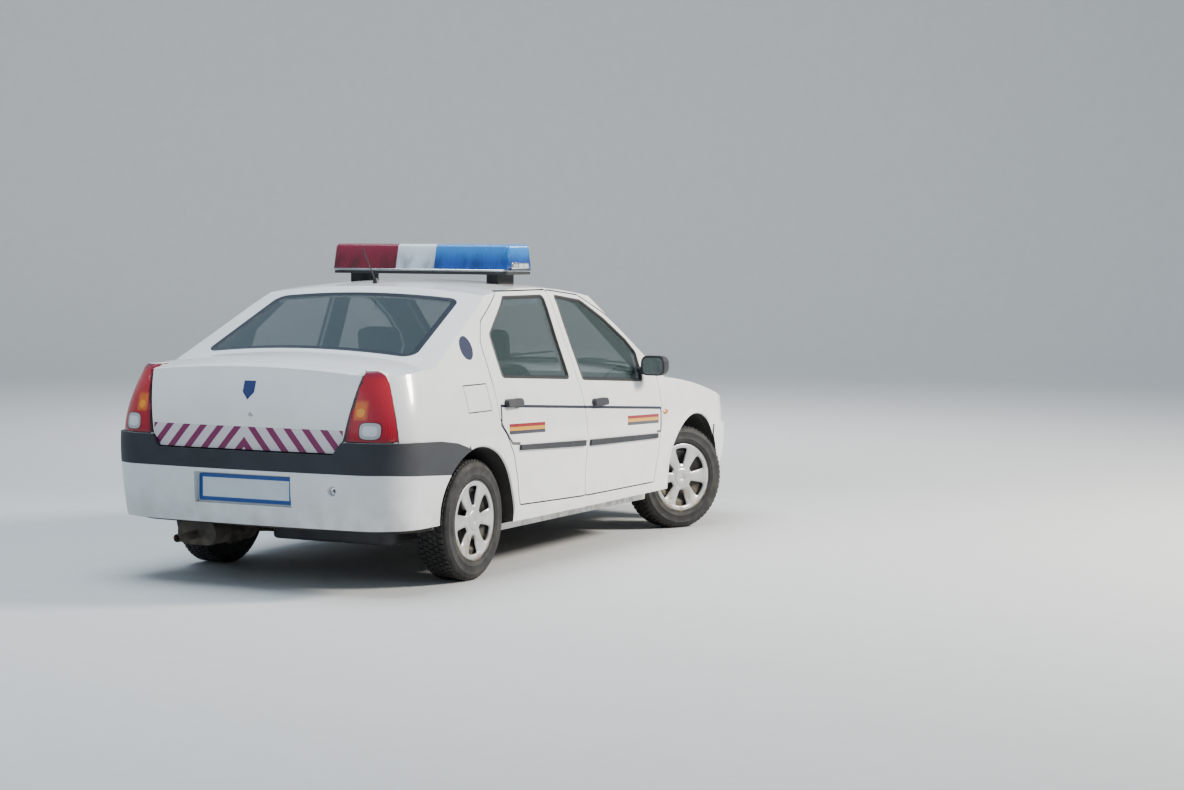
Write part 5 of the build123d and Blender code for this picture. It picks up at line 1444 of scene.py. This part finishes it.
    def build(self) -> None:
        """Makes the three pieces of the wheel."""
        body = f"wheel_{self.place}"
        self.tyre(f"tyre_{self.place}_treaded", body)
        self.steel(f"wheel_{self.place}_steel", body)
        self.cover(f"wheel_{self.place}_cover", body)


@dataclass
class RoofBar:
    """Trim strip and end lamps of the roof light bar."""

    car: Car
    x: Pair = (-0.450, -0.150)
    half: float = 0.550
    seam: float = 1.5472
    corner: float = 0.038

    def build(self) -> None:
        """Makes the strip round the seam and a lamp at each end."""
        middle = Vector((sum(self.x) / 2, 0, self.seam))
        flat = [(x + middle.x, y) for x, y in Outline.block(((self.x[1] - self.x[0]) / 2, self.half))]
        rows = []
        for grow, rise in ((0.0008, -0.006), (0.0030, -0.004), (0.0030, 0.003), (0.0008, 0.005)):
            outline = Outline.rounded(Outline.inset(flat, -grow), self.corner, 8, 12)
            rows.append([Vector((x, y, self.seam + rise)) for x, y in outline])
        low, high = ([p + (middle - p).normalized() * 0.004 for p in row] for row in (rows[0], rows[-1]))
        mesh = Mould.band("lightbar_strip", [low, *rows, high])
        Mould.piece("lightbar_strip", mesh, FINISHES.chrome, "body")
        for side in Side:
            y = side.value * self.half
            near, far = sorted((y - side.value * 0.006, y + side.value * 0.006))
            mesh = Mould.box("end_lamp", (-0.395, near, 1.5555), (-0.205, far, 1.5905))
            Mould.piece(f"lightbar_end_lamp_{side.word}", mesh, FINISHES.chrome, "body")
            self.car.blocks(f"lightbar_end_cells_{side.word}", FINISHES.white_dome, 3,
                            (-0.361, y + side.value * 0.00625, 1.573), (0.061, 0, 0), (0.052, 0.0045, 0.022))


@dataclass
class Mirrors:
    """Domed shell of each door mirror, with silvered glass and a rim in its rear face."""

    centre: Vector = field(default_factory=lambda: Vector((0.600, 0.925, 1.004)))
    width: float = 0.148
    height: float = 0.112
    depth: float = 0.122

    def ring(self, side: Side, flat: Sequence[Pair], ahead: float, scale: float = 1.0) -> list[Vector]:
        """Outline about the mirror's middle, set ahead of its rear face."""
        x, y, z = self.centre
        return [Vector((x + ahead, side.value * y + a * scale, z + b * scale)) for a, b in flat]

    def shell(self, side: Side) -> None:
        """Dome over the arm's head, closed at its nose and along its rim."""
        flat = Outline.rounded(Outline.block((self.width / 2 + 0.001, self.height / 2 + 0.001)), 0.045, 8, 4)
        sections = [self.ring(side, flat, 0.0006 + self.depth * share, (1 - share ** 3) ** 0.4545)
                    for share in (0.0, 0.15, 0.3, 0.45, 0.58, 0.70, 0.80, 0.88, 0.94, 0.975, 0.993, 0.999)]
        name = f"mirror_shell_{side.word}"
        Mould.piece(name, Mould.sweep(name, sections), FINISHES.rub, f"door_front_{side.word}", smooth=60.0)

    def build(self) -> None:
        """Makes the shell, the rim and the glass of both mirrors."""
        corners = Outline.block((self.width / 2, self.height / 2))
        for side in Side:
            self.shell(side)
            rows = []
            for shrink, proud in ((0.0, 0.0), (0.001, 0.0045), (0.009, 0.0045), (0.012, 0.0015)):
                flat = Outline.rounded(Outline.inset(corners, shrink), 0.044 - shrink, 8, 4)
                rows.append(self.ring(side, flat, -proud))
            mesh = Mould.strip("mirror_rim", rows, Vector((0.0005, 0, 0)))
            Mould.piece(f"mirror_rim_{side.word}", mesh, FINISHES.trim, f"door_front_{side.word}")
            flat = Outline.rounded(Outline.inset(corners, 0.011), 0.033, 8, 4)
            sections = [self.ring(side, flat, ahead) for ahead in (-0.0022, -0.0002)]
            mesh = Mould.sweep("mirror_glass", sections)
            Mould.piece(f"mirror_glass_{side.word}", mesh, FINISHES.mirror, f"door_front_{side.word}")


@dataclass
class SmallParts:
    """Side repeaters, boot lock, plate frames and screws, rim of the towing socket, intake slats."""

    car: Car
    repeater: Pair = (0.920, 0.722)
    lid_lock: Pair = (-0.031, 0.858)
    plate_half: Pair = (0.2675, 0.0625)
    screw_y: float = 0.18
    tow_socket: Triple = (-2.0885, -0.511, 0.512)
    slat_x: float = 1.965

    def repeaters(self) -> None:
        """Amber side lamp on each front wing, seated on the skin."""
        tree = self.car.caster("front_wings")
        for side in Side:
            rows = []
            for share, proud in ((1.0, -0.002), (0.96, 0.004), (0.75, 0.0085), (0.35, 0.0105)):
                row = []
                for angle in (2 * math.pi * k / 24 for k in range(24)):
                    x = self.repeater[0] + 0.030 * share * math.cos(angle)
                    z = self.repeater[1] + 0.015 * share * math.sin(angle)
                    hit = seen_beside(tree, side, x, z)
                    row.append(Vector((x, (hit.y if hit else side.value * 0.855) + side.value * proud, z)))
                rows.append(row)
            name = f"side_repeater_{side.word}"
            Mould.piece(name, Mould.sweep(name, rows), FINISHES.amber, "body")

    @staticmethod
    def turned(name: str, profile: Sequence[Pair], place: Vector, ahead: float, steps: int) -> bpy.types.Mesh:
        """Round form whose axis points ahead (1) or back (-1)."""
        turn = Matrix.Translation(place) @ Matrix.Rotation(math.radians(90 * ahead), 4, "Y")
        return Mould.revolve(name, profile, steps, turn)

    def lock(self) -> None:
        """Round lock of the boot lid."""
        place = seen_behind(self.car.caster("boot_lid"), *self.lid_lock)
        profile = [(0.0, 0.0045), (0.0035, 0.0045), (0.0040, 0.0030), (0.0110, 0.0036), (0.0135, 0.0028),
                   (0.0145, -0.002), (0.0, -0.002)]
        mesh = self.turned("boot_lock", profile, place, -1, 32)
        Mould.piece("boot_lock", mesh, FINISHES.chrome, "boot_lid")

    def plate_frames(self) -> None:
        """Rim round each plate with two screws."""
        box_low, box_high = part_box("number_plates")
        profile = [(0.0, 0.0018), (0.0042, 0.0016), (0.0062, 0.0006), (0.0062, -0.001), (0.0, -0.001)]
        for name, x, z, out in (("rear", box_low.x, PlateFinish.rear_middle, -1),
                                ("front", box_high.x, PlateFinish.front_middle, 1)):
            rows = []
            for grow, proud in ((0.004, -0.002), (0.004, 0.004), (-0.003, 0.004), (-0.004, 0.0004)):
                outline = Outline.rounded(Outline.inset(Outline.block(self.plate_half), -grow), 0.012, 5, 6)
                rows.append([Vector((x + out * proud, a, z + b)) for a, b in outline])
            mesh = Mould.strip("plate_frame", rows, Vector((-out * 0.0006, 0, 0)))
            Mould.piece(f"plate_frame_{name}", mesh, FINISHES.plate_rim, "body")
            for index, y in enumerate((-self.screw_y, self.screw_y)):
                mesh = self.turned("plate_screw", profile, Vector((x, y, z)), out, 20)
                Mould.piece(f"plate_screw_{name}_{index}", mesh, FINISHES.plate, "body")

    def tow_cap(self) -> None:
        """Chrome ring round the towing socket."""
        profile = [(0.0095, 0.0012), (0.0125, 0.0025), (0.0205, 0.0020), (0.0232, 0.0002), (0.0232, -0.001),
                   (0.0095, -0.001)]
        mesh = self.turned("tow_rim", profile, Vector(self.tow_socket), -1, 40)
        Mould.piece("tow_socket_rim", mesh, FINISHES.chrome, "body")

    def grille(self) -> None:
        """Upright slats in the front openings."""
        for name, count, half, low, high in (("lower", 23, 0.30, 0.304, 0.341),
                                             ("middle", 21, 0.285, 0.504, 0.556)):
            self.car.blocks(f"intake_slats_{name}", FINISHES.trim, count,
                            (self.slat_x, -half, (low + high) / 2), (0, 2 * half / (count - 1), 0),
                            (0.030, 0.006, high - low + 0.006))

    def build(self) -> None:
        """Makes all of them."""
        self.repeaters()
        self.lock()
        self.plate_frames()
        self.tow_cap()
        self.grille()


@dataclass
class Cushion:
    """One stuffed seat part: a crowned closed form with sewn channels, its lean in degrees."""

    name: str
    centre: Vector
    size: Triple
    lean: float = 0.0
    channels: int = 3
    bulge: float = 0.022
    squareness: float = 6.0
    seam_reach: float = 0.55
    seam_width: float = 0.035
    seam_depth: float = 0.007
    pull: float = 0.008

    def mesh(self) -> bpy.types.Mesh:
        """Rounded block whose faces swell between seams and pull in at the corners."""
        shape = bmesh.new()
        bmesh.ops.create_cube(shape, size=2.0)
        bmesh.ops.subdivide_edges(shape, edges=list(shape.edges), cuts=19, use_grid_fill=True)
        turn = Matrix.Rotation(math.radians(self.lean), 3, "Y")
        step = 2 * self.seam_reach / max(1, self.channels - 1)
        seams = [-self.seam_reach + step * k for k in range(self.channels)]
        for vert in shape.verts:
            u = vert.co.copy()
            length = sum(abs(c) ** self.squareness for c in u) ** (1 / self.squareness)
            rounded = u / max(length, 1e-6) * max(abs(c) for c in u)
            swell = (1 - u.x ** 2) * (1 - u.y ** 2)
            groove = sum(math.exp(-((u.x - line) / self.seam_width) ** 2) for line in seams)
            place = Vector([r * s / 2 for r, s in zip(rounded, self.size)])
            place.z += math.copysign(self.bulge * swell * abs(u.z) ** 3, u.z)
            place.z -= math.copysign(self.seam_depth * groove * abs(u.z) ** 8 * (1 - abs(u.y) ** 6), u.z)
            place.x -= self.pull * (1 - u.z ** 2) * math.copysign(1, u.x) * abs(u.x) ** 6 * (u.y ** 2)
            vert.co = self.centre + turn @ place
        return Mould.from_bmesh(self.name, shape)


@dataclass
class Interior:
    """Padded seats with their bases and head restraints, and the instrument hood."""

    seat_y: float = 0.345
    fill: float = 0.8
    hood_half: float = 0.20
    hood_foot: float = 0.885
    hood: tuple[Pair, ...] = ((0.640, 0.030), (0.665, 0.052), (0.740, 0.055), (0.830, 0.030))

    def join(self, name: str, cushions: Sequence[Cushion]) -> None:
        """Makes one padded piece of several cushions."""
        shape = bmesh.new()
        for cushion in cushions:
            shape.from_mesh(cushion.mesh())
        made = Mould.piece(name, Mould.as_is(name, shape), FINISHES.cloth, "body", replaces=["seats"],
                           slot="fabric", smooth=60.0)

    def seats(self) -> None:
        """Two front seats and the rear bench inside the room of their solid."""
        for side in Side:
            y = side.value * self.seat_y
            self.join(f"seat_front_{side.word}", [
                Cushion("cushion", Vector((0.205, y, 0.430)), (0.50, 0.47, 0.125), -6.0, 4),
                Cushion("back", Vector((-0.155, y, 0.760)), (0.58, 0.46, 0.115), -110.0, 4),
                Cushion("head", Vector((-0.285, y, 1.140)), (0.17, 0.245, 0.085), -98.0, 0),
            ])
            mesh = Mould.box("seat_base", (-0.02, y - 0.20, 0.2305), (0.40, y + 0.20, 0.375), 0.02)
            Mould.piece(f"seat_base_{side.word}", mesh, FINISHES.cabin, "body")
            for index, offset in enumerate((-0.055, 0.055)):
                foot, head = Vector((-0.262, y + offset, 1.010)), Vector((-0.284, y + offset, 1.085))
                mesh = Mould.tube("rest_post", [foot, (foot + head) / 2, head], [0.006] * 3)
                Mould.piece(f"head_rest_post_{side.word}_{index}", mesh, FINISHES.chrome, "body")
        self.join("seat_rear", [
            Cushion("bench", Vector((-0.735, 0.0, 0.455)), (0.48, 1.10, 0.125), -6.0, 3),
            Cushion("rear_back", Vector((-0.905, 0.0, 0.740)), (0.46, 1.10, 0.095), -104.0, 3),
        ])
        mesh = Mould.box("bench_base", (-0.985, -0.55, 0.2305), (-0.55, 0.55, 0.400), 0.02)
        Mould.piece("bench_base", mesh, FINISHES.carpet, "body")

    def instrument_hood(self) -> None:
        """Arched hood over the instruments."""
        shape = bmesh.new()
        rows = [[shape.verts.new((x, self.seat_y + (t - 0.5) * 2 * self.hood_half,
                                  self.hood_foot + lift * math.sin(math.pi * t) ** 0.6))
                 for t in (k / 16 for k in range(17))] for x, lift in self.hood]
        Mould.span(shape, rows, closed=False)
        bmesh.ops.recalc_face_normals(shape, faces=shape.faces)
        mesh = Mould.as_is("instrument_hood", shape)
        Mould.wall(Mould.piece("instrument_hood", mesh, FINISHES.cabin, "body", smooth=60.0), 0.006, 0.0)

    def build(self) -> None:
        """Makes all of them."""
        self.seats()
        self.instrument_hood()


@dataclass
class EngineBay:
    """What shows under the bonnet: ribbed cover, battery and coolant tank."""

    car: Car

    @staticmethod
    def box(name: str, finish: Finish, low: Triple, high: Triple, bevel: float, segments: int) -> None:
        """Makes one block with soft edges."""
        Mould.piece(name, Mould.box(name, low, high, bevel, segments), finish, "body")

    def build(self) -> None:
        """Makes the pieces on the block and on the wheel housings."""
        self.box("engine_cover", FINISHES.cabin, (1.27, -0.24, 0.7005), (1.62, 0.22, 0.742), 0.014, 3)
        self.car.blocks("engine_cover_ribs", FINISHES.cabin, 11, (1.445, -0.20, 0.744), (0, 0.038, 0),
                        (0.26, 0.010, 0.008))
        self.box("battery", FINISHES.trim, (1.29, 0.450, 0.680), (1.45, 0.580, 0.835), 0.006, 2)
        self.box("coolant_tank", FINISHES.tank, (1.30, -0.575, 0.682), (1.44, -0.455, 0.800), 0.022, 3)


@dataclass
class Studio:
    """Floor, lights and the camera at the photograph's viewing angle."""

    place: Vector = field(default_factory=lambda: Vector((-11.8064, -6.7367, 1.7120)))
    yaw: float = 0.46318536
    pitch: float = -0.06389456
    roll: float = 0.00547469
    focal: float = 2416.595
    width: float = 1184.0
    sensor: float = 36.0
    floor_run: tuple[Pair, ...] = (
        (0.0, 0.0), (6.0, 0.0), (12.0, 0.0), (17.0, 0.0), (18.5, 0.12), (20.0, 0.55), (21.3, 1.35),
        (22.3, 2.5), (23.0, 4.0), (23.3, 6.0), (23.4, 9.0))
    floor_steps: int = 144
    sky: RGB = (0.62, 0.80, 1.0)
    sky_strength: float = 0.62

    def camera(self) -> None:
        """Makes the camera from the fitted place and angles."""
        level = math.cos(self.pitch)
        forward = Vector((math.cos(self.yaw) * level, math.sin(self.yaw) * level, math.sin(self.pitch)))
        right = forward.cross(Vector((0, 0, 1))).normalized()
        up = right.cross(forward)
        across = math.cos(self.roll) * right + math.sin(self.roll) * up
        upright = -math.sin(self.roll) * right + math.cos(self.roll) * up
        turn = Matrix((across, upright, -forward)).transposed()
        data = bpy.data.cameras.new("Camera")
        data.sensor_width = self.sensor
        data.lens = self.sensor * self.focal / self.width
        data.clip_end = 200.0
        made = bpy.data.objects.new("Camera", data)
        made.matrix_world = Matrix.Translation(self.place) @ turn.to_4x4()
        bpy.context.scene.collection.objects.link(made)
        bpy.context.scene.camera = made

    @staticmethod
    def lamp(name: str, place: Vector, target: Vector, size: float, power: float, colour: RGB) -> None:
        """One large soft lamp aimed at a point."""
        data = bpy.data.lights.new(name, "AREA")
        data.shape = "DISK"
        data.size = size
        data.energy = power
        data.color = colour
        made = bpy.data.objects.new(name, data)
        turn = (target - place).to_track_quat("-Z", "Y").to_matrix()
        made.matrix_world = Matrix.Translation(place) @ turn.to_4x4()
        bpy.context.scene.collection.objects.link(made)

    def floor(self) -> None:
        """Plain pale floor that curves up into a wall all round, beyond every camera."""
        shape = bmesh.new()
        rows = [[shape.verts.new((r * math.cos(angle), r * math.sin(angle), h)) for r, h in self.floor_run]
                for angle in (2 * math.pi * index / self.floor_steps for index in range(self.floor_steps))]
        for row, following in zip(rows, [*rows[1:], rows[0]]):
            for k in range(1, len(row) - 1):
                shape.faces.new([row[k], row[k + 1], following[k + 1], following[k]])
            shape.faces.new([row[0], row[1], following[1]])
        bmesh.ops.remove_doubles(shape, verts=shape.verts, dist=1e-5)
        mesh = Mould.as_is("floor", shape)
        mesh.polygons.foreach_set("use_smooth", [True] * len(mesh.polygons))
        finish = Finish("PaleFloor", (0.56, 0.56, 0.55), 0.75, grain=40.0, depth=0.0005, patchy=0.02)
        mesh.materials.append(finish.material())
        made = bpy.data.objects.new("floor", mesh)
        bpy.context.scene.collection.objects.link(made)

    def build(self) -> None:
        """Sets the stage."""
        self.camera()
        self.floor()
        world = bpy.data.worlds.new("Studio")
        world.use_nodes = True
        back = world.node_tree.nodes["Background"]
        back.inputs["Color"].default_value = (*self.sky, 1.0)
        back.inputs["Strength"].default_value = self.sky_strength
        bpy.context.scene.world = world
        middle = Vector((0, 0, 0.7))
        for name, place, target, size, power, colour in (
                ("Key", (4.0, -8.5, 6.0), middle, 2.5, 2300.0, (1.0, 0.94, 0.84)),
                ("Sky", (-1.5, 1.0, 8.5), middle, 7.0, 900.0, (0.84, 0.93, 1.0)),
                ("Rear", (-9.5, 1.5, 3.5), middle, 5.0, 60.0, (0.70, 0.86, 1.0)),
                ("Wall", (6.0, 2.0, 7.0), Vector((18.0, 9.0, 1.0)), 5.0, 900.0, (1.0, 1.0, 1.0))):
            self.lamp(name, Vector(place), target, size, power, colour)
        LOG.info("studio ready")


def wheels(car: Car) -> list[Wheel]:
    """Places the four wheels at rest, the front pair steered.

    Args:
        car: The car.

    Returns:
        The wheels.
    """
    made = []
    for side in Side:
        out = Vector((-math.sin(STEER_REST), math.cos(STEER_REST), 0)) * side.value
        middle = Vector((FRONT_AXLE, side.value * KINGPIN_Y, WHEEL_Z)) + out * (FRONT_TRACK_Y - KINGPIN_Y)
        made.append(Wheel(car, f"front_{side.word}", middle, out))
        middle = Vector((REAR_AXLE, side.value * REAR_TRACK_Y, WHEEL_Z))
        made.append(Wheel(car, f"rear_{side.word}", middle, Vector((0, side.value, 0))))
    return made


def main() -> None:
    """Dresses the whole car in order."""
    logging.basicConfig(level=logging.INFO, format="%(name)s: %(message)s")
    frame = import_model()
    car = Car(frame["nodes"])
    Studio().build()
    Bodywork(car).build()
    ArchLips(car).build()
    TailLenses(car).build()
    SideWindows(car).build()
    front = Screen("windscreen", (1.060, 0.985), (0.330, 1.455), 3.280,
                   ((-0.655, 0.022), (0.655, 0.022), (0.548, 0.828), (-0.548, 0.828)))
    rear = Screen("rear_window", (-1.550, 1.166), (-0.948, 1.443), 5.200,
                  ((-0.628, -0.012), (0.628, -0.012), (0.556, 0.640), (-0.556, 0.640)))
    front.build()
    rear.build()
    Wipers(front).build()
    for wheel in wheels(car):
        wheel.build()
    RoofBar(car).build()
    Mirrors().build()
    SmallParts(car).build()
    Interior().build()
    EngineBay(car).build()


if __name__ == "__main__":
    main()
